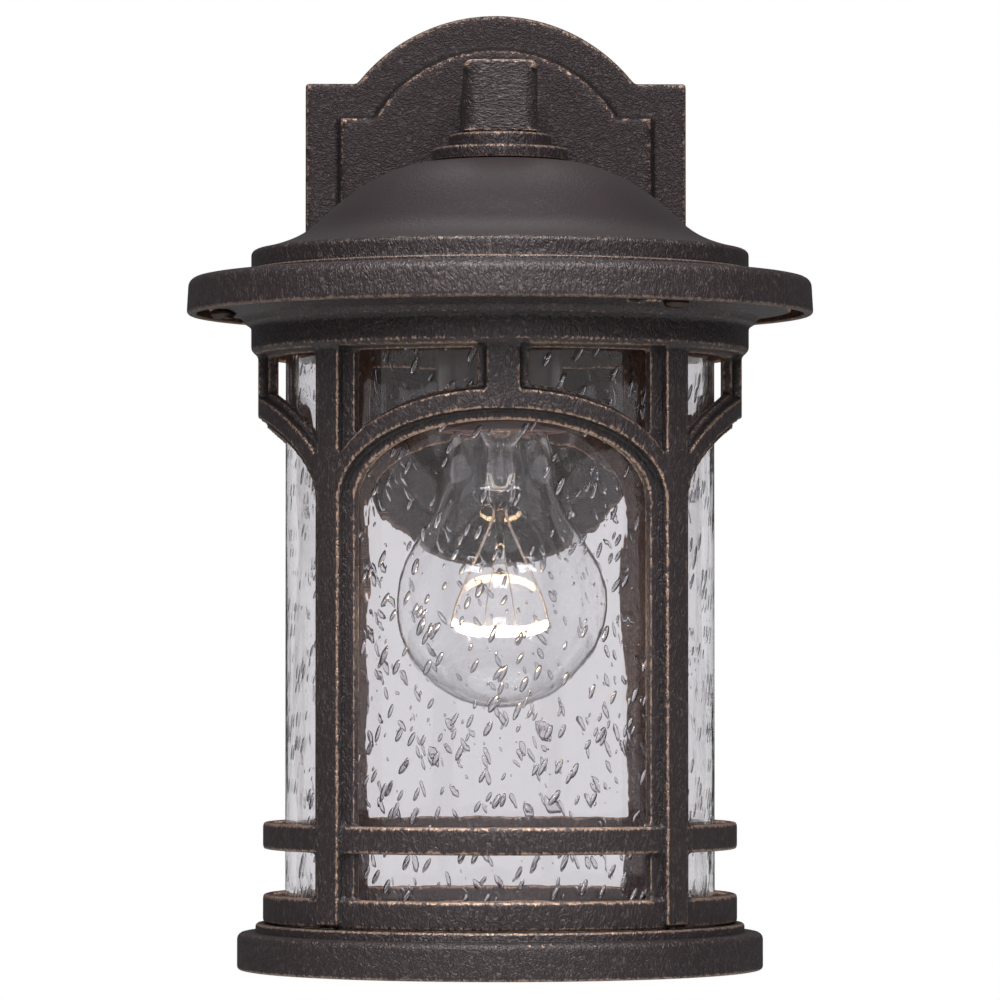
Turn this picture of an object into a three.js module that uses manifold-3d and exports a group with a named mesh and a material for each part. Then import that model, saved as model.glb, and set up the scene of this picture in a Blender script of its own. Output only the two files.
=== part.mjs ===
// Outdoor wall lantern: a cast backplate with a short arm, a domed roof with a wide brim, and a round cage
// that holds a glass cylinder around one screw-in bulb. The cage, its glass and its base come off the roof
// together. Millimetres, +Z up. The origin is the middle of the backplate on the wall, and the lantern
// stands out along -Y.
import * as THREE from "three";
import { mergeVertices } from "three/addons/utils/BufferGeometryUtils.js";
import Module from "manifold-3d";

const wasm = await Module();
wasm.setup();

// ------------------------------------------------------------ driving dimensions
const GAP = 0.3; // between pieces that touch
const HOLE_CLEARANCE = 0.35; // all round a shank, a nipple or a wire in its hole
const WALL = 2.8; // of every casting
const ROUND = 40; // sides of the large round pieces, a multiple of 8 so that the four bays match
const ROUND_MEDIUM = 24;
const ROUND_SMALL = 12;
const CURVE_STEPS = 4; // chords in each curve of a profile

const BRIM_FROM_WALL = 25.1; // from the wall to the nearest point of the brim

const PLATE_WIDTH = 114.3;
const PLATE_HEIGHT = 165;
const PLATE_DEPTH = 18;
const PLATE_SHOULDER_DROP = 20.5; // from the crown of the arch down to the shoulders
const PLATE_ARCH_R = 52.7;
const PANEL_INSET = 10.3;
const PANEL_RISE = 2.2;
const PANEL_BEVEL = 1.1;

const ARM_WIDTH = 21.1;
const ARM_HEIGHT = 20.4;
const ARM_UNDERSIDE = 38.2; // above the middle of the plate
const ARM_CORNER = 2.4; // of the long upper edges
const ARM_NOSE_CORNER = 4.4;
const ARM_PAST_AXIS = 10.4;
const ARM_CHANNEL_WIDTH = 11;
const ARM_CHANNEL_HEIGHT = 9;
const ARM_REAR_BOSS = 18; // solid stretch that the rear nipple is threaded into

const NIPPLE_R = 4.9; // threaded lamp pipe
const NIPPLE_WALL = 1.4;
const PIPE_PAST_NUT = 0.5;
const NUT_WALL = 3.1; // from the pipe to the nut's corners
const NUT_HEIGHT = 3.5;
const WASHER_WIDTH = 4.6; // beyond the pipe
const WASHER_HEIGHT = 1.2;

const NECK_UPPER_R = 14.5;
const NECK_UPPER_HEIGHT = 4;
const NECK_LOWER_R = 19.3;
const NECK_LOWER_HEIGHT = 3.6;
const NECK_CHAMFER = 0.8;

const DOME_HEIGHT = 25.3;
// The dome's curves, as parts of its run from the neck to the shoulder and of its drop.
const DOME_SEAT = [0, 0];
const DOME_FULL = [[0.27, 0.05], [0.475, 0.37]]; // steers the full, upper curve
const DOME_TURN = [0.615, 0.65]; // where the full curve becomes the hollow one
const DOME_HOLLOW = [[0.705, 0.83], [0.795, 0.915]]; // steers the hollow, lower curve
const DOME_FOOT = [0.97, 1];
const DOME_INSET_SHARE = 0.8; // of the wall, taken off the inner curve's radius
const SHOULDER_HEIGHT = 5.6;
const STEP_PROUD = 1.4; // of the small step beyond the shoulder
const STEP_HEIGHT = 1.3;
const BRIM_REACH = 18.3; // from the shoulder out to the edge
const BRIM_DRAFT = 0.6; // the brim's edge leans in by this much at its top
const BRIM_SLOPE = 1; // fall of the brim's top from the step to its edge
const BRIM_EDGE_HEIGHT = 10.3;
const BRIM_ROUNDING = 1.6;

const FLANGE_REACH = 12.2; // beyond the collar
const FLANGE_THICKNESS = 2.5;
const FLANGE_SETBACK = 1; // of the flange's underside above the brim's lower edge
const BRIM_LIP_CLEARANCE = 3.3; // between the flange's edge and the brim's lip
const COVE_PROUD = 1.4; // of the cove's foot beyond the collar
const COVE_HEIGHT = 4.3;
const COLLAR_PROUD = 4.6; // beyond the cage's plain wall
const COLLAR_HEIGHT = 8.1;
const COLLAR_ROUNDING = 1.4;

const CAGE_R = 66; // outside of the cage's plain wall
const CAGE_WALL = 2.7;
const RIB_RISE = 2.6; // of the ribs that run along the posts, arches and struts
const RAIL_RISE = 1.1; // of the lower rail and the drum
const CAGE_HEIGHT = 160.3; // from the collar to the foot of the drum
const BAYS = 4;
const POST_WIDTH = 15.4;
const POST_RIB_WIDTH = 8.1;
const STRUT_WIDTH = 14.2;
const STRUT_RIB_WIDTH = 9;
const ARCH_CROWN_DROP = 20.8; // from the collar down to the crown of the main opening
const ARCH_RISE = 22.2;
const ARCH_BAND = 10; // depth of the arch at its crown
const ARCH_SPREAD = 9.2; // half width of the arch's outer curve beyond the main opening
const ARCH_RIB_LOWER = 3; // the rib stays this far from the edge of the main opening at the crown
const ARCH_RIB_UPPER = 1.5;
const DRUM_HEIGHT = 8;
const LOWER_WINDOW_HEIGHT = 12.6;
const RAIL_HEIGHT = 7.6;
const RIB_FOOT = 1; // the ribs end this far above the foot of the drum

const BASE_STEP_PROUD = 3.2; // beyond the cage's plain wall
const BASE_STEP_HEIGHT = 2.6;
const BASE_PROUD = 8.4;
const BASE_HEIGHT = 10.5;
const BASE_OPENING_R = 44;
const BASE_RIB_HEIGHT = 4;
const BASE_RIB_WALL = 2;
const BASE_ROUNDING = 1.4;

const GLASS_CLEARANCE = 2.5; // between the glass and the cage's bore
const GLASS_WALL = 3;
const GLASS_TOP_CLEARANCE = 9; // below the top of the flange

const CAGE_SCREW_FROM_EDGE = 4; // in from the flange's edge
const CAGE_SCREW_ANGLES = [37, 157, 277]; // degrees round the axis from the front, towards +X
const CAGE_SCREW_R = 2;
const CAGE_SCREW_HEAD_R = 3.6;
const CAGE_SCREW_HEAD_HEIGHT = 2.2;
const CAGE_SCREW_REACH = 3.6; // into the roof's boss
const BOSS_R = 4.6;
const BOSS_FLOOR = 1; // left above the screw
const KEYHOLE_TURN = 8; // degrees from the screw's seat to the round end of the keyhole
const KEYHOLE_R = 4.2;

const BASE_SCREW_R = 1.5;
const BASE_SCREW_HEAD_R = 2.8;
const BASE_SCREW_HEAD_HEIGHT = 1.8;
const BASE_SCREW_REACH = 7;

const STRAP_END_CLEARANCE = 4.35; // inside the plate's hollow
const STRAP_WIDTH = 20;
const STRAP_THICKNESS = 2;
const STRAP_SLOT_FROM_END = 8;
const STRAP_SLOT_LENGTH = 9;
const STRAP_SLOT_WIDTH = 4.6;
const STRAP_CENTRE_HOLE_R = 5.5;
const STUD_SPACING = 69.85;
const STUD_R = 2.1;
const CAP_NUT_R = 5.4;
const CAP_NUT_BARREL = 4.5;
const CAP_NUT_FLANGE_R = 6.8;
const CAP_NUT_FLANGE_HEIGHT = 1.3;
const GROUND_SCREW_R = 1.9;
const GROUND_SCREW_HEAD_R = 4;
const GROUND_SCREW_HEAD_HEIGHT = 2;
const STRAP_GROUND_X = -18; // along the strap
const PLATE_GROUND_Z = -30; // below the middle of the plate
const PLATE_GROUND_BOSS_HEIGHT = 5;

const HOLDER_CLEARANCE = 1.9; // round the brass shell
const HOLDER_WALL = 2.2;
const HOLDER_HEIGHT = 34;
const HOLDER_CAP_HEIGHT = 12;
const HOLDER_CAP_NECK_WALL = 3.6; // round the pipe
const PIPE_IN_HOLDER = 3.2; // the pipe's hold in the lampholder's cap
const HOLDER_WIRE_HOLE_X = 6;
const HOLDER_DROP = 76.8; // from the roof's crown down to the lampholder's open end
const SHELL_CLEARANCE = 0.6; // round the bulb's cap
const SHELL_WALL = 0.7;
const SHELL_INSET = 2; // of the shell's rim above the lampholder's open end
const CONTACT_THICKNESS = 0.8;
const CONTACT_R = 5;

const BULB_CAP_R = 13;
const BULB_CAP_INSET = 1.5; // of the cap's rim above the lampholder's mouth
const BULB_CAP_WALL = 0.5;
const BULB_CAP_HEIGHT = 23;
const BULB_CAP_SHOULDER = 2; // height of the taper at the cap's closed end
const BULB_INSULATOR_HEIGHT = 2.6;
const BULB_INSULATOR_R = 7.6;
const BULB_TIP_R = 4.6;
const BULB_TIP_HEIGHT = 1.2;
const BULB_R = 29.8;
const BULB_NECK_R = 15.6;
const BULB_NECK_DROP = 12; // from the lampholder's mouth down to the middle of the neck
const BULB_JOIN_ANGLE = Math.PI / 5; // above the globe's waist, where the neck's curve runs into it
const BULB_GLASS_WALL = 0.8;
const BULB_BELOW_HOLDER = 48.3; // from the lampholder's mouth down to the middle of the globe
const STEM_R = 3.2;
const STEM_FLARE_R = 9;
const STEM_FLARE_HEIGHT = 8;
const STEM_LENGTH = 26;
const STEM_INSET = 2; // of the stem's foot inside the cap
const FILAMENT_HALF = 13;
const FILAMENT_R = 0.7;
const FILAMENT_SAG = 2.2;
const FILAMENT_BELOW_GLOBE = 6; // below the middle of the globe
const BULB_WIRE_R = 0.45;
const BULB_WIRE_STRAIGHT = 7; // at each end of the wires that hold the filament

const LEAD_R = 1.15;
const WIRE_NUT_R = 4.6;
const WIRE_NUT_LENGTH = 17;
const WIRE_NUT_OFF_WALL = 0.7;
const WIRE_NUT_X = 17;
const WIRE_NUT_BELOW_ARM = 20; // from the arm's middle down to the nuts' mouths

// ------------------------------------------------------------ heights and places that follow from them
const neckTop = ARM_UNDERSIDE - GAP;
const neckFoot = neckTop - NECK_UPPER_HEIGHT - NECK_LOWER_HEIGHT;
const roofTop = neckFoot - GAP;
const shoulderTop = roofTop - DOME_HEIGHT;
const stepTop = shoulderTop - SHOULDER_HEIGHT;
const brimTopInner = stepTop - STEP_HEIGHT;
const brimTop = brimTopInner - BRIM_SLOPE;
const brimFoot = brimTop - BRIM_EDGE_HEIGHT;
const brimCeiling = brimTop - WALL;
const flangeFoot = brimFoot + FLANGE_SETBACK;
const flangeTop = flangeFoot + FLANGE_THICKNESS;
const collarTop = flangeFoot - COVE_HEIGHT;
const collarFoot = collarTop - COLLAR_HEIGHT;
const cageFoot = collarFoot - CAGE_HEIGHT;
const lowerWindowFoot = cageFoot + DRUM_HEIGHT;
const railFoot = lowerWindowFoot + LOWER_WINDOW_HEIGHT;
const railTop = railFoot + RAIL_HEIGHT;
const archCrown = collarFoot - ARCH_CROWN_DROP;
const springing = archCrown - ARCH_RISE;
const cageBore = CAGE_R - CAGE_WALL;
const ribR = CAGE_R + RIB_RISE;
const collarR = CAGE_R + COLLAR_PROUD;
const coveR = collarR + COVE_PROUD;
const flangeR = collarR + FLANGE_REACH;
const cageScrewCircleR = flangeR - CAGE_SCREW_FROM_EDGE;
const brimR = flangeR + BRIM_LIP_CLEARANCE + WALL;
const axisOut = BRIM_FROM_WALL + brimR; // from the wall to the lantern's axis
const shoulderR = brimR - BRIM_REACH;
const stepR = shoulderR + STEP_PROUD;
const baseStepR = CAGE_R + BASE_STEP_PROUD;
const baseR = CAGE_R + BASE_PROUD;
const glassR = cageBore - GLASS_CLEARANCE;
const baseTop = cageFoot - GAP;
const baseFlangeTop = baseTop - BASE_STEP_HEIGHT;
const baseFoot = baseFlangeTop - BASE_HEIGHT;
const postCircleR = (cageBore + ribR) / 2;
const glassFoot = baseTop + GAP;
const glassTop = flangeTop - GLASS_TOP_CLEARANCE;
const bayArc = (2 * Math.PI * CAGE_R) / BAYS; // measured round the cage's plain wall
const armMiddle = ARM_UNDERSIDE + ARM_HEIGHT / 2;
const plateFront = PLATE_DEPTH + PANEL_RISE; // out from the wall
const armRear = plateFront + GAP;
const armNose = axisOut + ARM_PAST_AXIS;
const plateInside = PLATE_DEPTH - WALL; // depth of the hollow behind the plate
const strapLength = PLATE_WIDTH - 2 * (WALL + STRAP_END_CLEARANCE);
const shellR = BULB_CAP_R + SHELL_CLEARANCE + SHELL_WALL;
const holderR = shellR + HOLDER_CLEARANCE + HOLDER_WALL;
const nippleBoreR = NIPPLE_R - NIPPLE_WALL;
const nippleHoleR = NIPPLE_R + HOLE_CLEARANCE;
const holderMouth = roofTop - HOLDER_DROP;
const holderTop = holderMouth + HOLDER_HEIGHT;
const pipeFoot = holderTop + HOLDER_CAP_HEIGHT - PIPE_IN_HOLDER;
const globeMiddle = holderMouth - BULB_BELOW_HOLDER;
const bulbCapFoot = holderMouth + BULB_CAP_INSET;
const bulbCapTop = bulbCapFoot + BULB_CAP_HEIGHT;

// ------------------------------------------------------------ finishes
const finish = (color, roughness, metalness, extra = {}) =>
  new THREE.MeshStandardMaterial({ color, roughness, metalness, ...extra });
const bronze = () => finish(0x3a3231, 0.55, 0.6);
const zincPlate = () => finish(0xa9adb0, 0.4, 0.9);
const brass = () => finish(0xc0a060, 0.35, 1);
const phenolic = () => finish(0x2a1210, 0.45, 0);
const clearGlass = () => finish(0xdfe3e4, 0.05, 0, { transparent: true, opacity: 0.3 });
const nickel = () => finish(0xc4c2bd, 0.3, 1);

// ------------------------------------------------------------ solids
// A closed geometry as a solid, with its faces turned to point outwards.
function solid(geometry) {
  const bare = geometry.clone();
  bare.deleteAttribute("normal");
  bare.deleteAttribute("uv");
  const merged = mergeVertices(bare, 1e-4);
  const vertProperties = merged.attributes.position.array;
  const triVerts = Uint32Array.from(merged.index.array);
  const made = new wasm.Manifold(new wasm.Mesh({ numProp: 3, vertProperties, triVerts }));
  if (made.volume() > 0) return made;
  return new wasm.Manifold(new wasm.Mesh({ numProp: 3, vertProperties, triVerts: triVerts.reverse() }));
}

const join = (first, ...others) => others.reduce((whole, piece) => whole.add(piece), first);
const cut = (body, ...tools) => tools.reduce((whole, tool) => whole.subtract(tool), body);

// A named mesh of a solid.
function piece(name, body, material) {
  const { numProp, vertProperties, triVerts } = body.getMesh();
  const positions = new Float32Array((vertProperties.length / numProp) * 3);
  for (let i = 0; i < positions.length / 3; i++) {
    positions.set(vertProperties.subarray(i * numProp, i * numProp + 3), i * 3);
  }
  const geometry = new THREE.BufferGeometry();
  geometry.setAttribute("position", new THREE.BufferAttribute(positions, 3));
  geometry.setIndex(new THREE.BufferAttribute(Uint32Array.from(triVerts), 1));
  geometry.computeVertexNormals();
  const mesh = new THREE.Mesh(geometry, material);
  mesh.name = name;
  return mesh;
}

// A profile of (radius, height) turned round the Z axis: a closed loop, or one with both ends on the axis.
function turned(profile, sides = ROUND) {
  const drawn = Boolean(profile.getPoints);
  const points = drawn ? profile.getPoints(CURVE_STEPS) : profile.map(([r, z]) => new THREE.Vector2(r, z));
  const onAxis = points[0].x === 0 && points[points.length - 1].x === 0;
  if (!onAxis && !points[0].equals(points[points.length - 1])) points.push(points[0].clone());
  return solid(new THREE.LatheGeometry(points, sides).rotateX(Math.PI / 2));
}

// A ring with square corners.
const ring = (innerR, outerR, foot, top, sides = ROUND) =>
  turned([[innerR, foot], [outerR, foot], [outerR, top], [innerR, top]], sides);

// A plain disc or rod round the Z axis.
const rod = (r, foot, top, sides = ROUND_SMALL) =>
  turned([[0, foot], [r, foot], [r, top], [0, top]], sides);

const block = (width, depth, height, x, y, z) =>
  solid(new THREE.BoxGeometry(width, depth, height).translate(x, y, z));

// An outline drawn in (x, z), standing out from the wall between two distances.
function fromWall(outline, near, far) {
  const geometry = new THREE.ExtrudeGeometry(outline, {
    depth: far - near,
    curveSegments: 2 * CURVE_STEPS,
    bevelEnabled: false,
  });
  return solid(geometry.translate(0, 0, near).rotateX(Math.PI / 2));
}

// The same with its front edge rounded over and its rear edge left square.
function fromWallRounded(outline, near, far, rounding) {
  const geometry = new THREE.ExtrudeGeometry(outline, {
    depth: far - near,
    curveSegments: 2 * CURVE_STEPS,
    bevelThickness: rounding,
    bevelSize: rounding,
    bevelOffset: -rounding,
    bevelSegments: 2,
  });
  const body = solid(geometry.translate(0, 0, near - rounding).rotateX(Math.PI / 2));
  const behind = block(2 * PLATE_WIDTH, 2 * rounding, 2 * PLATE_HEIGHT, 0, rounding - near, 0);
  return cut(body, behind);
}

// A round rod standing out from the wall at (x, z), between two distances.
const wallRod = (r, near, far, x, z, sides = ROUND_SMALL) =>
  rod(r, near, far, sides).rotate([90, 0, 0]).translate([x, 0, z]);

// A turned profile laid along -Y, its heights becoming distances from the wall.
const wallTurned = (profile, x, z, sides = ROUND_SMALL) =>
  turned(profile, sides).rotate([90, 0, 0]).translate([x, 0, z]);

// A round wire along a smooth curve.
function wire(points, r, steps, sides = 8) {
  const path = new THREE.CatmullRomCurve3(points.map((point) => new THREE.Vector3(...point)));
  const section = new THREE.Shape();
  for (let i = 0; i < sides; i++) {
    const angle = (2 * Math.PI * i) / sides;
    if (i === 0) section.moveTo(r, 0);
    else section.lineTo(r * Math.cos(angle), r * Math.sin(angle));
  }
  section.closePath();
  return solid(new THREE.ExtrudeGeometry(section, { steps, extrudePath: path, bevelEnabled: false }));
}

// Where a thing lies on a circle round the lantern's axis, in degrees from the front towards +X.
function onCircle(r, degrees) {
  const angle = (degrees * Math.PI) / 180;
  return [r * Math.sin(angle), -r * Math.cos(angle)];
}

// ------------------------------------------------------------ wall side
// The plate's outline: straight sides and shoulders with an arch above and below, drawn in by an inset.
function plateOutline(inset) {
  const half = PLATE_WIDTH / 2 - inset;
  const shoulder = PLATE_HEIGHT / 2 - PLATE_SHOULDER_DROP - inset;
  const archR = PLATE_ARCH_R - inset;
  const archCentre = PLATE_HEIGHT / 2 - PLATE_ARCH_R;
  const archHalf = Math.sqrt(archR ** 2 - (shoulder - archCentre) ** 2);
  const start = Math.atan2(shoulder - archCentre, archHalf);
  const outline = new THREE.Shape();
  outline.moveTo(half, -shoulder);
  outline.lineTo(half, shoulder);
  outline.lineTo(archHalf, shoulder);
  outline.absarc(0, archCentre, archR, start, Math.PI - start, false);
  outline.lineTo(-half, shoulder);
  outline.lineTo(-half, -shoulder);
  outline.lineTo(-archHalf, -shoulder);
  outline.absarc(0, -archCentre, archR, Math.PI + start, 2 * Math.PI - start, false);
  outline.closePath();
  return outline;
}

function backplate() {
  const body = join(
    fromWallRounded(plateOutline(0), 0, PLATE_DEPTH, PANEL_BEVEL),
    fromWallRounded(plateOutline(PANEL_INSET), PLATE_DEPTH - WALL / 2, plateFront, PANEL_BEVEL),
  );
  const hollow = fromWall(plateOutline(WALL), -1, plateInside);
  const nippleHole = wallRod(nippleHoleR, plateInside - 1, plateFront + 1, 0, armMiddle);
  const studHoles = [-1, 1].map((side) =>
    wallRod(STUD_R + HOLE_CLEARANCE, plateInside - 1, plateFront + 1, (side * STUD_SPACING) / 2, 0),
  );
  const bossEnd = plateInside - PLATE_GROUND_BOSS_HEIGHT;
  const groundBoss = wallRod(GROUND_SCREW_HEAD_R, bossEnd, plateInside + WALL / 2, 0, PLATE_GROUND_Z);
  const groundHole = wallRod(GROUND_SCREW_R + HOLE_CLEARANCE, bossEnd - 1, plateInside, 0, PLATE_GROUND_Z);
  const shell = join(cut(body, hollow), groundBoss);
  return piece("backplate", cut(shell, nippleHole, ...studHoles, groundHole), bronze());
}

function wallStrap() {
  const bar = block(strapLength, STRAP_THICKNESS, STRAP_WIDTH, 0, -STRAP_THICKNESS / 2, 0);
  const slots = [-1, 1].map((side) =>
    block(
      STRAP_SLOT_LENGTH, 2 * STRAP_THICKNESS, STRAP_SLOT_WIDTH,
      side * (strapLength / 2 - STRAP_SLOT_FROM_END), -STRAP_THICKNESS / 2, 0,
    ),
  );
  const through = (r, x) => wallRod(r + HOLE_CLEARANCE, -1, STRAP_THICKNESS + 1, x, 0);
  const holes = [
    through(STRAP_CENTRE_HOLE_R, 0),
    through(GROUND_SCREW_R, STRAP_GROUND_X),
    through(STUD_R, -STUD_SPACING / 2),
    through(STUD_R, STUD_SPACING / 2),
  ];
  return piece("wall_strap", cut(bar, ...slots, ...holes), zincPlate());
}

function studsAndCapNuts() {
  const made = [];
  const nutFoot = plateFront + GAP;
  const barrelTop = nutFoot + CAP_NUT_FLANGE_HEIGHT + CAP_NUT_BARREL;
  const boreR = STUD_R + HOLE_CLEARANCE;
  const boreEnd = barrelTop + CAP_NUT_R / 2;
  const profile = new THREE.Shape();
  profile.moveTo(0, boreEnd);
  profile.lineTo(boreR, boreEnd);
  profile.lineTo(boreR, nutFoot);
  profile.lineTo(CAP_NUT_FLANGE_R, nutFoot);
  profile.lineTo(CAP_NUT_FLANGE_R, nutFoot + CAP_NUT_FLANGE_HEIGHT);
  profile.lineTo(CAP_NUT_R, nutFoot + CAP_NUT_FLANGE_HEIGHT);
  profile.lineTo(CAP_NUT_R, barrelTop);
  profile.absarc(0, barrelTop, CAP_NUT_R, 0, Math.PI / 2, false);
  for (const [side, name] of [[-1, "left"], [1, "right"]]) {
    const x = (side * STUD_SPACING) / 2;
    made.push(
      piece("mounting_stud_" + name, wallRod(STUD_R, GAP, boreEnd - 2 * GAP, x, 0), zincPlate()),
      piece("cap_nut_" + name, wallTurned(profile, x, 0), bronze()),
    );
  }
  return made;
}

// A pan-head screw whose head rests on the seat, facing away from the wall (1) or towards it (-1).
function groundScrew(name, seat, direction, reach, x, z) {
  const headEnd = seat + direction * GROUND_SCREW_HEAD_HEIGHT;
  const shankEnd = seat - direction * reach;
  const profile = [
    [0, shankEnd], [GROUND_SCREW_R, shankEnd], [GROUND_SCREW_R, seat],
    [GROUND_SCREW_HEAD_R, seat], [GROUND_SCREW_HEAD_R, headEnd], [0, headEnd],
  ];
  return piece(name, wallTurned(profile, x, z), finish(0x2f8f4a, 0.4, 0.6));
}

function groundScrews() {
  const strapSeat = STRAP_THICKNESS + GAP;
  const plateSeat = plateInside - PLATE_GROUND_BOSS_HEIGHT - GAP;
  return [
    groundScrew("strap_ground_screw", strapSeat, 1, STRAP_THICKNESS, STRAP_GROUND_X, 0),
    groundScrew("plate_ground_screw", plateSeat, -1, PLATE_GROUND_BOSS_HEIGHT - 1, 0, PLATE_GROUND_Z),
  ];
}

// ------------------------------------------------------------ arm and the pipes that clamp it
function arm() {
  const half = ARM_WIDTH / 2;
  const top = ARM_UNDERSIDE + ARM_HEIGHT;
  const section = new THREE.Shape();
  section.moveTo(-half, ARM_UNDERSIDE);
  section.lineTo(half, ARM_UNDERSIDE);
  section.absarc(half - ARM_CORNER, top - ARM_CORNER, ARM_CORNER, 0, Math.PI / 2, false);
  section.absarc(-half + ARM_CORNER, top - ARM_CORNER, ARM_CORNER, Math.PI / 2, Math.PI, false);
  section.closePath();
  const plan = new THREE.Shape();
  const noseX = half - ARM_NOSE_CORNER;
  const noseY = -armNose + ARM_NOSE_CORNER;
  plan.moveTo(half, -armRear);
  plan.lineTo(-half, -armRear);
  plan.absarc(-noseX, noseY, ARM_NOSE_CORNER, Math.PI, 1.5 * Math.PI, false);
  plan.absarc(noseX, noseY, ARM_NOSE_CORNER, 1.5 * Math.PI, 2 * Math.PI, false);
  plan.closePath();
  const beam = fromWall(section, armRear, armNose);
  const planExtrusion = new THREE.ExtrudeGeometry(plan, {
    depth: 2 * ARM_HEIGHT,
    bevelEnabled: false,
    curveSegments: CURVE_STEPS,
  });
  const planBlock = solid(planExtrusion.translate(0, 0, ARM_UNDERSIDE - ARM_HEIGHT / 2));
  const channelStart = armRear + ARM_REAR_BOSS;
  const channelEnd = axisOut + ARM_CHANNEL_WIDTH / 2;
  const channel = block(
    ARM_CHANNEL_WIDTH, channelEnd - channelStart, ARM_CHANNEL_HEIGHT,
    0, -(channelStart + channelEnd) / 2, armMiddle,
  );
  const rearHole = wallRod(nippleHoleR, armRear - 1, channelStart + 1, 0, armMiddle);
  const downHole = rod(nippleHoleR, ARM_UNDERSIDE - 1, armMiddle).translate([0, -axisOut, 0]);
  return piece("arm", cut(beam.intersect(planBlock), channel, rearHole, downHole), bronze());
}

const hexNut = (foot, top) =>
  cut(rod(NIPPLE_R + NUT_WALL, foot, top, 6), rod(nippleHoleR, foot - 1, top + 1));
const washer = (foot, top) => ring(nippleHoleR, NIPPLE_R + WASHER_WIDTH, foot, top, ROUND_SMALL);

// The pipe nipple through the back of the plate, with its washer and nut in the hollow.
function armPipe() {
  const washerTop = plateInside - GAP;
  const washerFoot = washerTop - WASHER_HEIGHT;
  const nutTop = washerFoot - GAP;
  const nutFoot = nutTop - NUT_HEIGHT;
  const pipeEnd = armRear + ARM_REAR_BOSS - 1;
  const pipe = ring(nippleBoreR, NIPPLE_R, nutFoot - PIPE_PAST_NUT, pipeEnd, ROUND_SMALL);
  const toWall = (body) => body.rotate([90, 0, 0]).translate([0, 0, armMiddle]);
  return [
    piece("arm_nipple", toWall(pipe), zincPlate()),
    piece("arm_washer", toWall(washer(washerFoot, washerTop)), zincPlate()),
    piece("arm_locknut", toWall(hexNut(nutFoot, nutTop)), zincPlate()),
  ];
}

// ------------------------------------------------------------ neck, roof and lampholder, about the axis
function neckCollar() {
  const step = neckFoot + NECK_LOWER_HEIGHT;
  const profile = [
    [nippleHoleR, neckFoot], [NECK_LOWER_R, neckFoot], [NECK_LOWER_R, step - NECK_CHAMFER],
    [NECK_LOWER_R - NECK_CHAMFER, step], [NECK_UPPER_R, step], [NECK_UPPER_R, neckTop - NECK_CHAMFER],
    [NECK_UPPER_R - NECK_CHAMFER, neckTop], [nippleHoleR, neckTop],
  ];
  return piece("neck_collar", turned(profile, ROUND_MEDIUM), bronze());
}

// The dome's section: full near the neck, hollow where it runs out to the shoulder, drawn in by an inset.
function domeCurve(path, inset) {
  const run = shoulderR - NECK_LOWER_R;
  const drawnIn = DOME_INSET_SHARE * inset;
  const at = ([alongRun, alongDrop]) => [
    NECK_LOWER_R + alongRun * run - drawnIn,
    roofTop - alongDrop * DOME_HEIGHT - inset,
  ];
  path.lineTo(...at(DOME_SEAT));
  path.bezierCurveTo(...at(DOME_FULL[0]), ...at(DOME_FULL[1]), ...at(DOME_TURN));
  path.bezierCurveTo(...at(DOME_HOLLOW[0]), ...at(DOME_HOLLOW[1]), ...at(DOME_FOOT));
}

function roof() {
  const outside = new THREE.Path();
  outside.moveTo(nippleHoleR, roofTop);
  domeCurve(outside, 0);
  outside.lineTo(shoulderR, shoulderTop - BRIM_ROUNDING);
  outside.lineTo(shoulderR, stepTop);
  outside.lineTo(stepR, stepTop);
  outside.lineTo(stepR, brimTopInner);
  outside.lineTo(brimR - BRIM_DRAFT - BRIM_ROUNDING, brimTop);
  outside.lineTo(brimR - BRIM_DRAFT, brimTop - BRIM_ROUNDING);
  outside.lineTo(brimR, brimFoot + BRIM_ROUNDING / 2);
  outside.lineTo(brimR - BRIM_ROUNDING / 2, brimFoot);
  outside.lineTo(brimR - WALL, brimFoot);
  const inside = new THREE.Path();
  inside.moveTo(nippleHoleR, roofTop - WALL);
  domeCurve(inside, WALL);
  inside.lineTo(shoulderR - WALL, shoulderTop - WALL);
  inside.lineTo(shoulderR - WALL, brimCeiling);
  inside.lineTo(brimR - WALL, brimCeiling);
  const points = [...outside.getPoints(CURVE_STEPS), ...inside.getPoints(CURVE_STEPS - 1).reverse()];
  const shell = turned(points.map((point) => [point.x, point.y]));
  const bossFoot = flangeTop + GAP;
  const bossTop = brimCeiling + WALL / 2;
  const holeR = CAGE_SCREW_R + HOLE_CLEARANCE;
  let body = shell;
  for (const degrees of CAGE_SCREW_ANGLES) {
    const [x, y] = onCircle(cageScrewCircleR, degrees);
    const boss = rod(BOSS_R, bossFoot, bossTop);
    const hole = rod(holeR, bossFoot - 1, brimTop - BOSS_FLOOR);
    body = cut(join(body, boss.translate([x, y, 0])), hole.translate([x, y, 0]));
  }
  return piece("roof", body, bronze());
}

// The pipe that clamps arm, neck and roof together and carries the lampholder.
function roofPipe() {
  const underRoof = roofTop - WALL;
  const washerTop = underRoof - GAP;
  const nutTop = washerTop - WASHER_HEIGHT - GAP;
  const pipeTop = armMiddle - ARM_CHANNEL_HEIGHT / 2 - 1;
  return [
    piece("roof_nipple", ring(nippleBoreR, NIPPLE_R, pipeFoot, pipeTop, ROUND_SMALL), zincPlate()),
    piece("roof_washer", washer(washerTop - WASHER_HEIGHT, washerTop), zincPlate()),
    piece("roof_locknut", hexNut(nutTop - NUT_HEIGHT, nutTop), zincPlate()),
  ];
}

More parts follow.
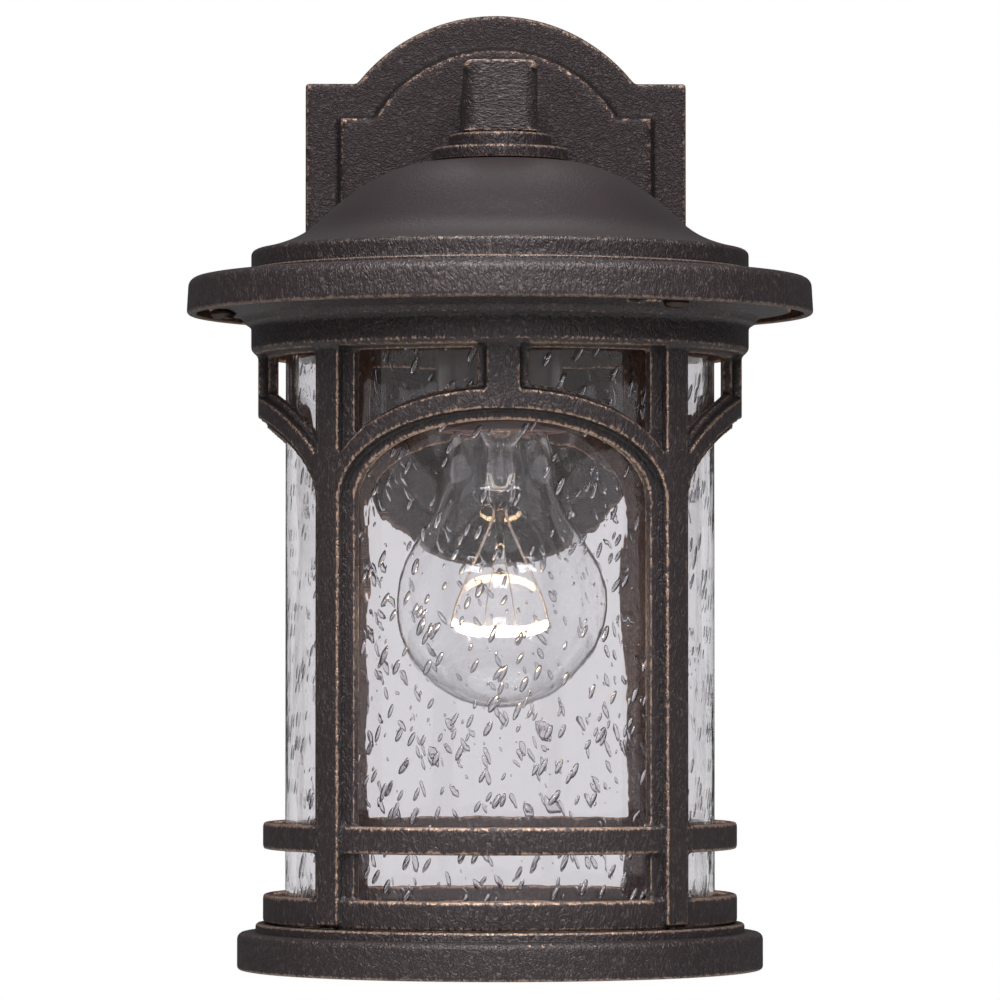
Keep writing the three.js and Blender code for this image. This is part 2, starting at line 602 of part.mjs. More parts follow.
function lampholder() {
  const capFoot = holderTop + GAP;
  const capTop = capFoot + HOLDER_CAP_HEIGHT;
  const capNeckR = NIPPLE_R + HOLDER_CAP_NECK_WALL;
  const cap = turned([
    [holderR - HOLDER_WALL, capFoot], [holderR, capFoot], [holderR, capFoot + HOLDER_WALL],
    [capNeckR, capTop - HOLDER_WALL], [capNeckR, capTop], [nippleHoleR, capTop],
    [nippleHoleR, capTop - 2 * HOLDER_WALL],
  ], ROUND_MEDIUM);
  const boreR = holderR - HOLDER_WALL;
  const floor = holderTop - 2 * HOLDER_WALL;
  const wireHoles = [-HOLDER_WIRE_HOLE_X, HOLDER_WIRE_HOLE_X].map((x) =>
    rod(LEAD_R + HOLE_CLEARANCE, floor - 1, holderTop + 1).translate([x, 0, 0]),
  );
  const cup = turned([
    [0, floor], [boreR, floor], [boreR, holderMouth], [holderR, holderMouth], [holderR, holderTop],
    [0, holderTop],
  ], ROUND_MEDIUM);
  const shell = ring(shellR - SHELL_WALL, shellR, holderMouth + SHELL_INSET, floor - GAP, ROUND_MEDIUM);
  const tipTop = bulbCapTop + BULB_INSULATOR_HEIGHT + BULB_TIP_HEIGHT;
  const contactTop = tipTop + GAP + CONTACT_THICKNESS;
  const contact = join(
    rod(CONTACT_R, tipTop + GAP, contactTop),
    rod(CONTACT_R / 2, contactTop - CONTACT_THICKNESS / 2, floor - GAP),
  );
  return [
    piece("lampholder_cap", cap, phenolic()),
    piece("lampholder_body", cut(cup, ...wireHoles), phenolic()),
    piece("lampholder_screw_shell", shell, brass()),
    piece("lampholder_centre_contact", contact, brass()),
  ];
}

// ------------------------------------------------------------ bulb, about the axis
// The bulb's outer or inner surface from the neck down to the tip of the globe.
function bulbCurve(path, inset) {
  const globeR = BULB_R - inset;
  const neckR = BULB_NECK_R - inset;
  const neckMiddle = holderMouth - BULB_NECK_DROP;
  const leave = [globeR * Math.cos(BULB_JOIN_ANGLE), globeMiddle + globeR * Math.sin(BULB_JOIN_ANGLE)];
  path.moveTo(BULB_CAP_R - GAP - inset, bulbCapFoot - GAP);
  path.quadraticCurveTo(neckR, holderMouth - 1, neckR, neckMiddle);
  path.quadraticCurveTo(neckR, globeMiddle + BULB_R, ...leave);
  path.absarc(0, globeMiddle, globeR, BULB_JOIN_ANGLE, -Math.PI / 2, true);
}

function bulb() {
  const outside = new THREE.Path();
  bulbCurve(outside, 0);
  const inside = new THREE.Path();
  bulbCurve(inside, BULB_GLASS_WALL);
  const points = [...outside.getPoints(CURVE_STEPS - 1).reverse(), ...inside.getPoints(CURVE_STEPS - 1)];
  const profile = points.map((point) => [Math.abs(point.x) < 1e-6 ? 0 : point.x, point.y]);
  const glass = turned(profile, ROUND_MEDIUM);

  const capInnerR = BULB_CAP_R - BULB_CAP_WALL;
  const capShoulder = bulbCapTop - BULB_CAP_SHOULDER;
  const cap = turned([
    [capInnerR, bulbCapFoot], [BULB_CAP_R, bulbCapFoot], [BULB_CAP_R, capShoulder],
    [BULB_INSULATOR_R, bulbCapTop], [BULB_INSULATOR_R - BULB_CAP_WALL, bulbCapTop - BULB_CAP_WALL],
    [capInnerR, capShoulder - BULB_CAP_WALL],
  ], ROUND_MEDIUM);
  const insulatorFoot = bulbCapTop + GAP;
  const insulatorTop = bulbCapTop + BULB_INSULATOR_HEIGHT - GAP;
  const insulator = turned([
    [0, insulatorFoot], [BULB_INSULATOR_R, insulatorFoot], [BULB_TIP_R, insulatorTop], [0, insulatorTop],
  ], ROUND_SMALL);
  const tipFoot = insulatorTop + GAP;
  const tipTop = tipFoot + BULB_TIP_HEIGHT;
  const tip = turned([
    [0, tipFoot], [BULB_TIP_R, tipFoot], [BULB_TIP_R / 2, tipTop], [0, tipTop],
  ], ROUND_SMALL);

  const stemTop = bulbCapFoot + STEM_INSET;
  const stemFoot = stemTop - STEM_LENGTH;
  const stem = turned([
    [0, stemFoot], [STEM_R, stemFoot], [STEM_R, stemTop - STEM_FLARE_HEIGHT], [STEM_FLARE_R, stemTop],
    [0, stemTop],
  ], ROUND_SMALL);
  return [
    piece("bulb_glass", glass, clearGlass()),
    piece("bulb_cap", cap, nickel()),
    piece("bulb_insulator", insulator, finish(0x111014, 0.2, 0)),
    piece("bulb_tip_contact", tip, nickel()),
    piece("bulb_stem", stem, clearGlass()),
    ...filamentAndLeads(stemFoot),
  ];
}

// The bar filament between the ends of the two wires that run down from the stem.
function filamentAndLeads(stemFoot) {
  const level = globeMiddle - FILAMENT_BELOW_GLOBE;
  const glow = finish(0xfff2d0, 0.5, 0, { emissive: 0xffd9a0, emissiveIntensity: 5 });
  const filament = wire([
    [-FILAMENT_HALF, 0, level], [-FILAMENT_HALF / 2, 0, level - FILAMENT_SAG],
    [FILAMENT_HALF / 2, 0, level - FILAMENT_SAG], [FILAMENT_HALF, 0, level],
  ], FILAMENT_R, 12, 6);
  const end = FILAMENT_HALF + BULB_WIRE_R + GAP;
  const lead = (side) => wire([
    [side * STEM_R / 2, 0, stemFoot - GAP],
    [side * STEM_R, 0, stemFoot - BULB_WIRE_STRAIGHT],
    [side * end, 0, level + BULB_WIRE_STRAIGHT],
    [side * end, 0, level - 2 * BULB_WIRE_R],
  ], BULB_WIRE_R, 14, 6);
  return [
    piece("bulb_filament", filament, glow),
    piece("bulb_lead_left", lead(-1), nickel()),
    piece("bulb_lead_right", lead(1), nickel()),
  ];
}

// ------------------------------------------------------------ cage, about the axis
// An outline drawn in (distance round the cage, height), made a solid that passes radially through the
// cage's wall at one bay. Its flat ends stay clear of the wall.
function throughWall(outline, bay, side = 1) {
  const innerR = cageBore - 2 * CAGE_WALL;
  const outerR = (ribR + RIB_RISE) / Math.cos(Math.PI / BAYS);
  const geometry = new THREE.ExtrudeGeometry(outline, {
    depth: 1,
    bevelEnabled: false,
    curveSegments: CURVE_STEPS,
  });
  const position = geometry.attributes.position;
  for (let i = 0; i < position.count; i++) {
    const angle = (side * position.getX(i)) / CAGE_R + (bay * 2 * Math.PI) / BAYS;
    const r = position.getZ(i) > 0.5 ? outerR : innerR;
    position.setXYZ(i, r * Math.sin(angle), -r * Math.cos(angle), position.getY(i));
  }
  return solid(geometry);
}

// The arched main opening, from its foot up to its crown.
function archedOpening(half, foot, rise) {
  const outline = new THREE.Shape();
  outline.moveTo(-half, foot);
  outline.lineTo(half, foot);
  outline.absellipse(0, springing, half, rise, 0, Math.PI, false);
  outline.closePath();
  return outline;
}

// The small window between a strut, a post and the back of the arch.
function spandrelOpening(strutSide, postSide, archHalf, archRise, top) {
  const start = Math.acos(strutSide / archHalf);
  const end = Math.acos(postSide / archHalf);
  const outline = new THREE.Shape();
  outline.moveTo(strutSide, top);
  outline.absellipse(0, springing, archHalf, archRise, start, end, true);
  outline.lineTo(postSide, top);
  outline.closePath();
  return outline;
}

function rectangleOpening(half, foot, top) {
  const outline = new THREE.Shape();
  outline.moveTo(-half, foot);
  outline.lineTo(half, foot);
  outline.lineTo(half, top);
  outline.lineTo(-half, top);
  outline.closePath();
  return outline;
}

function cageHead() {
  return turned([
    [cageBore, collarFoot - GAP], [CAGE_R, collarFoot - GAP], [CAGE_R, collarFoot],
    [collarR - COLLAR_ROUNDING, collarFoot], [collarR, collarFoot + COLLAR_ROUNDING], [collarR, collarTop],
    [coveR, collarTop + COVE_HEIGHT / 7], [coveR + 0.37 * COVE_HEIGHT, collarTop + 0.55 * COVE_HEIGHT],
    [coveR + COVE_HEIGHT, flangeFoot - 0.12 * COVE_HEIGHT], [coveR + 1.4 * COVE_HEIGHT, flangeFoot],
    [flangeR, flangeFoot], [flangeR, flangeTop], [cageBore, flangeTop],
  ]);
}

// A hole of two shapes joined: round where the screw's head passes, and narrow where its shank seats. The
// cove is cut back to a flat seat under the head.
function keyhole(degrees) {
  const foot = flangeFoot - COVE_HEIGHT;
  const top = flangeTop + 1;
  const stops = 4;
  const at = (turn, r, holeTop) => {
    const [x, y] = onCircle(cageScrewCircleR, degrees - turn);
    return rod(r, foot, holeTop).translate([x, y, 0]);
  };
  const seat = at(0, CAGE_SCREW_HEAD_R + HOLE_CLEARANCE, flangeFoot);
  const mouth = at(KEYHOLE_TURN, KEYHOLE_R, top);
  const slot = Array.from({ length: stops + 1 }, (_, i) =>
    at((KEYHOLE_TURN * i) / stops, CAGE_SCREW_R + HOLE_CLEARANCE, top),
  );
  return join(seat, mouth, ...slot);
}

function cage() {
  const openingHalf = (bayArc - POST_WIDTH) / 2;
  const ribOpeningHalf = (bayArc - POST_RIB_WIDTH) / 2;
  const archHalf = openingHalf + ARCH_SPREAD;
  const archRise = ARCH_RISE + ARCH_BAND;
  const wallWindow = spandrelOpening(STRUT_WIDTH / 2, openingHalf, archHalf, archRise, collarFoot);
  const ribWindow = spandrelOpening(
    STRUT_RIB_WIDTH / 2, ribOpeningHalf, archHalf - ARCH_RIB_UPPER / 2, archRise - ARCH_RIB_UPPER,
    collarFoot + 1,
  );
  let wall = ring(cageBore, CAGE_R, cageFoot, collarFoot);
  let ribs = ring(CAGE_R - CAGE_WALL / 2, ribR, cageFoot + RIB_FOOT, collarFoot);
  for (let bay = 0; bay < BAYS; bay++) {
    wall = cut(
      wall,
      throughWall(archedOpening(openingHalf, railTop, ARCH_RISE), bay),
      throughWall(rectangleOpening(openingHalf, lowerWindowFoot, railFoot), bay),
    );
    const ribOpening = archedOpening(ribOpeningHalf, cageFoot - 1, ARCH_RISE + ARCH_RIB_LOWER);
    ribs = cut(ribs, throughWall(ribOpening, bay));
    for (const side of [-1, 1]) {
      wall = cut(wall, throughWall(wallWindow, bay, side));
      ribs = cut(ribs, throughWall(ribWindow, bay, side));
    }
  }
  const rail = ring(cageBore, CAGE_R + RAIL_RISE, railFoot, railTop);
  const drum = ring(cageBore, CAGE_R + RAIL_RISE, cageFoot, lowerWindowFoot);
  let body = join(wall, ribs, rail, drum, cageHead());
  for (const degrees of CAGE_SCREW_ANGLES) body = cut(body, keyhole(degrees));
  for (let post = 0; post < BAYS; post++) {
    const [x, y] = onCircle(postCircleR, (360 * (post + 0.5)) / BAYS);
    const holeTop = cageFoot + BASE_SCREW_REACH + HOLE_CLEARANCE;
    body = cut(body, rod(BASE_SCREW_R + HOLE_CLEARANCE, cageFoot - 1, holeTop).translate([x, y, 0]));
  }
  return piece("cage", body, bronze());
}

function glassCylinder() {
  const glass = ring(glassR - GLASS_WALL, glassR, glassFoot, glassTop);
  return piece("glass_cylinder", glass, clearGlass());
}

// A hollow-backed ring: its top carries the glass and its rib keeps the glass central.
function base() {
  const ribOuterR = glassR - GLASS_WALL - 2 * GAP;
  const ribInnerR = ribOuterR - BASE_RIB_WALL;
  const plateFoot = baseFlangeTop - WALL;
  const body = turned([
    [BASE_OPENING_R, baseFoot + BASE_ROUNDING], [BASE_OPENING_R + WALL, baseFoot + BASE_ROUNDING],
    [BASE_OPENING_R + WALL, plateFoot], [baseR - WALL, plateFoot], [baseR - WALL, baseFoot],
    [baseR - BASE_ROUNDING, baseFoot], [baseR, baseFoot + BASE_ROUNDING],
    [baseR, baseFlangeTop - BASE_ROUNDING], [baseR - BASE_ROUNDING, baseFlangeTop],
    [baseStepR, baseFlangeTop], [baseStepR, baseTop - BASE_ROUNDING / 2],
    [baseStepR - BASE_ROUNDING / 2, baseTop], [ribOuterR, baseTop],
    [ribOuterR, baseTop + BASE_RIB_HEIGHT], [ribInnerR, baseTop + BASE_RIB_HEIGHT],
    [ribInnerR, baseTop], [BASE_OPENING_R, baseTop],
  ]);
  const holes = [];
  for (let post = 0; post < BAYS; post++) {
    const [x, y] = onCircle(postCircleR, (360 * (post + 0.5)) / BAYS);
    holes.push(rod(BASE_SCREW_R + HOLE_CLEARANCE, plateFoot - 1, baseTop + 1).translate([x, y, 0]));
  }
  return piece("base", cut(body, ...holes), bronze());
}

// A screw that stands head down on the Z axis.
function screw(shankR, headR, headHeight, seat, reach) {
  return turned([
    [0, seat - headHeight], [headR * 0.7, seat - headHeight], [headR, seat - headHeight / 2],
    [headR, seat], [shankR, seat], [shankR, seat + reach], [0, seat + reach],
  ], ROUND_SMALL);
}

function baseScrews() {
  const seat = baseFlangeTop - WALL - GAP;
  const reach = cageFoot + BASE_SCREW_REACH - seat;
  const made = [];
  for (let post = 0; post < BAYS; post++) {
    const [x, y] = onCircle(postCircleR, (360 * (post + 0.5)) / BAYS);
    const body = screw(BASE_SCREW_R, BASE_SCREW_HEAD_R, BASE_SCREW_HEAD_HEIGHT, seat, reach);
    made.push(piece("base_screw_" + (post + 1), body.translate([x, y, 0]), zincPlate()));
  }
  return made;
}

function cageScrews() {
  const seat = flangeFoot - GAP;
  const reach = flangeTop + GAP + CAGE_SCREW_REACH - seat;
  return CAGE_SCREW_ANGLES.map((degrees, i) => {
    const [x, y] = onCircle(cageScrewCircleR, degrees);
    const body = screw(CAGE_SCREW_R, CAGE_SCREW_HEAD_R, CAGE_SCREW_HEAD_HEIGHT, seat, reach);
    return piece("cage_screw_" + (i + 1), body.translate([x, y, 0]), bronze());
  });
}

// ------------------------------------------------------------ wiring
// Each lead runs from the lampholder up its pipe, along the arm and into the hollow behind the plate.
function lampLeads() {
  const insideY = -(WIRE_NUT_R + WIRE_NUT_OFF_WALL);
  const made = [];
  const kinds = [[-1, "black", 0x161616, 0xd8b024], [1, "white", 0xe6e4dc, 0xb8502c]];
  for (const [side, name, color, nutColor] of kinds) {
    const apart = side * (LEAD_R + GAP);
    const nutX = side * WIRE_NUT_X;
    const nutTop = armMiddle - WIRE_NUT_BELOW_ARM;
    const route = [
      [side * HOLDER_WIRE_HOLE_X, -axisOut, holderTop + GAP],
      [side * HOLDER_WIRE_HOLE_X, -axisOut, holderTop + 2],
      [side * 4, -axisOut, pipeFoot - 3.5],
      [apart, -axisOut, pipeFoot],
      [apart, -axisOut, pipeFoot + 6],
      [apart, -axisOut, neckFoot],
      [apart, -axisOut, ARM_UNDERSIDE],
      [apart, -axisOut + 0.6, armMiddle - 5.5],
      [apart, -axisOut + 5.5, armMiddle - 0.6],
      [apart, -axisOut + 12, armMiddle],
      [apart, -armRear - ARM_REAR_BOSS, armMiddle],
      [apart, -armRear, armMiddle],
      [apart, -plateInside + 5, armMiddle],
      [side * 2.4, insideY, armMiddle - 3],
      [side * 8, insideY, armMiddle - 10],
      [nutX, insideY, armMiddle - 15],
      [nutX, insideY, nutTop + GAP],
    ];
    const nutFoot = nutTop - WIRE_NUT_LENGTH;
    const nut = turned([
      [0, nutFoot], [0.6 * WIRE_NUT_R, nutFoot], [WIRE_NUT_R, nutTop], [0, nutTop],
    ], ROUND_SMALL);
    made.push(
      piece("lead_" + name, wire(route, LEAD_R, 66), finish(color, 0.5, 0)),
      piece("wire_nut_" + name, nut.translate([nutX, insideY, 0]), finish(nutColor, 0.5, 0)),
    );
  }
  return made;
}

// The bare copper earth wire from the strap's screw to the plate's own screw.
function earthLead() {
  const strapY = -(STRAP_THICKNESS + GROUND_SCREW_HEAD_HEIGHT + 2 * GAP + LEAD_R);
  const plateY = -(plateInside - PLATE_GROUND_BOSS_HEIGHT - GROUND_SCREW_HEAD_HEIGHT - 2 * GAP - LEAD_R);
  const route = [
    [STRAP_GROUND_X, strapY, 0], [STRAP_GROUND_X - 2, strapY, -8], [STRAP_GROUND_X + 2, strapY, -20],
    [-7, plateY, PLATE_GROUND_Z - 2], [0, plateY, PLATE_GROUND_Z],
  ];
  return piece("lead_earth", wire(route, LEAD_R * 0.8, 24), finish(0xb87333, 0.35, 1));
}

// ------------------------------------------------------------ assembly
const lantern = new THREE.Group();
lantern.add(wallStrap(), backplate(), ...studsAndCapNuts(), ...groundScrews());
lantern.add(arm(), ...armPipe(), ...lampLeads(), earthLead());

const aboutAxis = new THREE.Group();
aboutAxis.position.y = -axisOut;
aboutAxis.add(neckCollar(), roof(), ...roofPipe(), ...lampholder(), ...bulb());
aboutAxis.add(cage(), glassCylinder(), base(), ...baseScrews(), ...cageScrews());
lantern.add(aboutAxis);

export default lantern;
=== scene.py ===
# Looks of an outdoor wall lantern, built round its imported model. Metres, +Z up, the wall is the plane y = 0,
# and the lantern stands out along -Y. Sizes are written in millimetres and multiplied by mm.
import math
import random

import bmesh
import bpy
from mathutils import Matrix, Vector


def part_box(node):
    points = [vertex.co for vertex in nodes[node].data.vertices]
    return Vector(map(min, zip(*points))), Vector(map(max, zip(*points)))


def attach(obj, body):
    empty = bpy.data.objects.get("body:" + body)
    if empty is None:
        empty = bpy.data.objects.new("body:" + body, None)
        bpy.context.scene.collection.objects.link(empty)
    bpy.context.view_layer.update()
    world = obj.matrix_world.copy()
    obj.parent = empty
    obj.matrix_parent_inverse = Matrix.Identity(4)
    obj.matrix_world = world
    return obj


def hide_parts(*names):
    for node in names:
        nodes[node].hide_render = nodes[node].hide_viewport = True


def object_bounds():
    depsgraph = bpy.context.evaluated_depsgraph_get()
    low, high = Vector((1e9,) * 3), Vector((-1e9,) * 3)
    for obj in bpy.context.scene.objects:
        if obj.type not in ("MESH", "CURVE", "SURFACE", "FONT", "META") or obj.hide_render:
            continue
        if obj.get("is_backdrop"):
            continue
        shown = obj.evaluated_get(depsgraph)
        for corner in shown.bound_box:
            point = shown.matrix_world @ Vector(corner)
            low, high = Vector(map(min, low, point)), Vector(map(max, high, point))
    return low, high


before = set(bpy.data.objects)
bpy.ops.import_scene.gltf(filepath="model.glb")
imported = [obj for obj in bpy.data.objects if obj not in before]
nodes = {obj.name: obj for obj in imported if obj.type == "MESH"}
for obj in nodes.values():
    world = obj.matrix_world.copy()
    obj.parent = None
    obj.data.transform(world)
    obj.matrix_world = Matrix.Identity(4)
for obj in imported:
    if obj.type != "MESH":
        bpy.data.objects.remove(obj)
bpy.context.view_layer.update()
mm = 0.001
AXIS = Vector((0, -114, -1.5))  # the lantern's axis, and the level that its heights are measured from


# ------------------------------------------------------------ wall strap and mounting studs
# A pressed strip of zinc-plated steel is screwed over the outlet box, and two studs stand out of it to carry
# the plate. The plating is bright, a little cloudy, and rolled along the strip.
class Value:
    """A socket whose value varies over a surface. Arithmetic on it adds Math nodes."""

    def __init__(self, paint, socket):
        self.paint = paint
        self.socket = socket

    def joined(self, operation, first, second):
        return self.paint.node("ShaderNodeMath", {"operation": operation}, {0: first, 1: second})

    def __add__(self, other):
        return self.joined("ADD", self, other)

    def __radd__(self, other):
        return self.joined("ADD", other, self)

    def __sub__(self, other):
        return self.joined("SUBTRACT", self, other)

    def __rsub__(self, other):
        return self.joined("SUBTRACT", other, self)

    def __mul__(self, other):
        return self.joined("MULTIPLY", self, other)

    def size(self):
        return self.joined("ABSOLUTE", self, 0)


class Paint:
    """A material, its Principled shader, and one way to add any node to it."""

    def __init__(self, name):
        self.material = bpy.data.materials.new(name)
        self.material.use_nodes = True
        self.tree = self.material.node_tree
        self.shader = self.tree.nodes["Principled BSDF"]

    def node(self, kind, settings=None, inputs=None, result=0):
        added = self.tree.nodes.new(kind)
        for key, value in (settings or {}).items():
            setattr(added, key, value)
        for key, value in (inputs or {}).items():
            self.feed(added.inputs[key], value)
        return Value(self, added.outputs[result])

    def feed(self, socket, value):
        if isinstance(value, Value):
            self.tree.links.new(value.socket, socket)
        elif socket.type == "RGBA":
            socket.default_value = (*value, 1)
        else:
            socket.default_value = value

    def set(self, **values):
        for key, value in values.items():
            self.feed(self.shader.inputs[key.replace("_", " ")], value)
        return self

    def between(self, low, high, share):
        """A colour part of the way from one to another."""
        return self.node(
            "ShaderNodeMix", {"data_type": "RGBA"}, {0: share, 6: low, 7: high}, result=2
        )

    def over(self, value, low, high):
        """0 where a value is below low, 1 where it is above high, and smooth between them."""
        return self.node(
            "ShaderNodeMapRange",
            {"interpolation_type": "SMOOTHSTEP"},
            {"Value": value, "From Min": low, "From Max": high},
        )

    def place(self, stretch=(1, 1, 1), turn=(0, 0, 0)):
        coordinates = self.node("ShaderNodeTexCoord", result=3)
        turned_by = [math.radians(angle) for angle in turn]
        return self.node(
            "ShaderNodeMapping", {}, {"Vector": coordinates, "Rotation": turned_by, "Scale": stretch}
        )

    def noise(self, where, scale, detail=3, roughness=0.55, distortion=0.0):
        return self.node(
            "ShaderNodeTexNoise",
            {},
            {"Vector": where, "Scale": scale, "Detail": detail, "Roughness": roughness,
             "Distortion": distortion},
        )

    def bump(self, height, depth, strength=1.0):
        return self.node(
            "ShaderNodeBump", {}, {"Height": height, "Distance": depth, "Strength": strength}
        )


def zinc_finish():
    paint = Paint("zinc_plate")
    where = paint.place((0.3, 1, 1))
    cloud = paint.noise(where, 90, 4)
    rolled = paint.noise(paint.place((40, 900, 900)), 1, 2)
    paint.set(
        Base_Color=paint.between((0.42, 0.43, 0.45), (0.62, 0.63, 0.64), cloud),
        Metallic=1.0,
        Roughness=0.24 + cloud * 0.16 + rolled * 0.08,
        Normal=paint.bump(rolled, 0.02 * mm, 0.5),
    )
    return paint.material


def painted(obj, material):
    obj.data.materials.clear()
    obj.data.materials.append(material)
    return obj


def deselected():
    bpy.ops.object.select_all(action="DESELECT")


def alone(obj):
    """Makes an object the only selected one."""
    deselected()
    obj.select_set(True)
    bpy.context.view_layer.objects.active = obj


def editing(obj):
    alone(obj)
    bpy.ops.object.mode_set(mode="EDIT")
    bpy.ops.mesh.select_all(action="SELECT")


def finished_editing():
    bpy.ops.mesh.select_mode(type="VERT")
    bpy.ops.object.mode_set(mode="OBJECT")


def choosing(obj, kind, wanted):
    """Starts editing with only those vertices, edges or faces selected that pass a test of their corners."""
    alone(obj)
    bpy.ops.object.mode_set(mode="EDIT")
    bpy.ops.mesh.select_mode(type=kind)
    bpy.ops.mesh.select_all(action="DESELECT")
    bpy.ops.object.mode_set(mode="OBJECT")
    points = obj.data.vertices
    if kind == "VERT":
        for point in points:
            point.select = wanted([point.co / mm])
    else:
        for element in obj.data.edges if kind == "EDGE" else obj.data.polygons:
            element.select = wanted([points[i].co / mm for i in element.vertices])
    bpy.ops.object.mode_set(mode="EDIT")


def modified(obj, kind, **settings):
    """Adds a modifier and applies it."""
    alone(obj)
    modifier = obj.modifiers.new(kind.lower(), kind)
    for key, value in settings.items():
        setattr(modifier, key, value)
    bpy.ops.object.modifier_apply(modifier=modifier.name)
    return obj


def wire_outline(name, points, closed=True):
    """A line through points in millimetres, drawn by extruding one vertex from each to the next."""
    deselected()
    bpy.ops.mesh.primitive_plane_add(size=mm, location=Vector(points[0]) * mm)
    obj = bpy.context.active_object
    obj.name = name
    editing(obj)
    bpy.ops.mesh.merge(type="CENTER")
    for here, there in zip(points, points[1:]):
        step = (Vector(there) - Vector(here)) * mm
        bpy.ops.mesh.extrude_region_move(TRANSFORM_OT_translate={"value": step})
    if closed:
        bpy.ops.mesh.select_all(action="SELECT")
        bpy.ops.mesh.edge_face_add()
    finished_editing()
    bpy.ops.object.transform_apply(location=True)
    return obj


def cleaned(obj):
    """Merges doubles and turns the faces outwards."""
    editing(obj)
    bpy.ops.mesh.remove_doubles(threshold=0.0005 * mm)
    bpy.ops.mesh.dissolve_degenerate(threshold=0.0002 * mm)
    bpy.ops.mesh.normals_make_consistent(inside=False)
    finished_editing()
    return obj


def rounded(corners, steps=4, skirt=0.9, closed=True):
    """A profile whose corners (x, y, radius) are rounded over, with a narrow strip kept beside each."""
    line = []
    count = len(corners)
    for i, corner in enumerate(corners):
        here = Vector(corner[:2])
        radius = corner[2] if len(corner) > 2 else 0
        if not radius or (not closed and i in (0, count - 1)):
            line.append(tuple(here))
            continue
        before = Vector(corners[i - 1][:2]) - here
        after = Vector(corners[(i + 1) % count][:2]) - here
        half = before.angle(after) / 2
        reach = min(radius / math.tan(half), 0.48 * before.length, 0.48 * after.length)
        radius = reach * math.tan(half)
        towards, away = before.normalized(), after.normalized()
        centre = here + (towards + away).normalized() * (radius / math.sin(half))
        first, last = here + towards * reach - centre, here + away * reach - centre
        if before.length > 2.1 * (reach + skirt):
            line.append(tuple(here + towards * (reach + skirt)))
        sweep = first.angle_signed(last)
        for k in range(steps + 1):
            spoke = first.copy()
            spoke.rotate(Matrix.Rotation(-sweep * k / steps, 2))
            line.append(tuple(centre + spoke))
        if after.length > 2.1 * (reach + skirt):
            line.append(tuple(here + away * (reach + skirt)))
    return line


def turned(name, profile, steps=144, centre=AXIS, along="up"):
    """A profile of (radius, height) spun round an upright axis, or one that points out from the wall."""
    closed = not (abs(profile[0][0]) < 1e-6 and abs(profile[-1][0]) < 1e-6)
    if along == "up":
        points = [centre + Vector((r, 0, h)) for r, h in profile]
        axis = (0, 0, 1)
    else:
        points = [centre + Vector((r, -h, 0)) for r, h in profile]
        axis = (0, 1, 0)
    obj = wire_outline(name, points, closed)
    editing(obj)
    if closed:
        bpy.ops.mesh.delete(type="ONLY_FACE")
        bpy.ops.mesh.select_all(action="SELECT")
    bpy.ops.mesh.spin(steps=steps, angle=2 * math.pi, center=centre * mm, axis=axis)
    finished_editing()
    cleaned(obj)
    bpy.ops.object.shade_smooth()
    return obj


def merged(name, *parts):
    alone(parts[0])
    for part in parts:
        part.select_set(True)
    bpy.ops.object.join()
    parts[0].name = name
    return parts[0]


def combined(obj, tool, operation):
    modified(obj, "BOOLEAN", operation=operation, object=tool, solver="EXACT")
    bpy.data.objects.remove(tool)
    return obj


def fitted(obj, body, slot, *stands_for):
    """Puts a finished piece on its body in place of the plain CAD nodes."""
    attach(obj, body)
    if stands_for:
        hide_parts(*stands_for)
    return obj


zinc = zinc_finish()
for name in ("wall_strap", "mounting_stud_left", "mounting_stud_right"):
    painted(nodes[name], zinc)

# ------------------------------------------------------------ backplate
# One aluminium casting, arched above and below, with a raised panel inside its border and a hollow back. It
# is painted dark bronze over a leathery texture, and its edges are rubbed through to copper.
PLATE_VOXEL = 0.7
PLATE_FRONT = 18
PANEL_FRONT = 20.2
ARM_MIDDLE = 48.4  # above the middle of the plate
STUD_OUT = 34.925  # from the middle of the plate to each mounting stud
EARTH_SCREW_Z = -30
PIPE_HOLE_R = 5.25


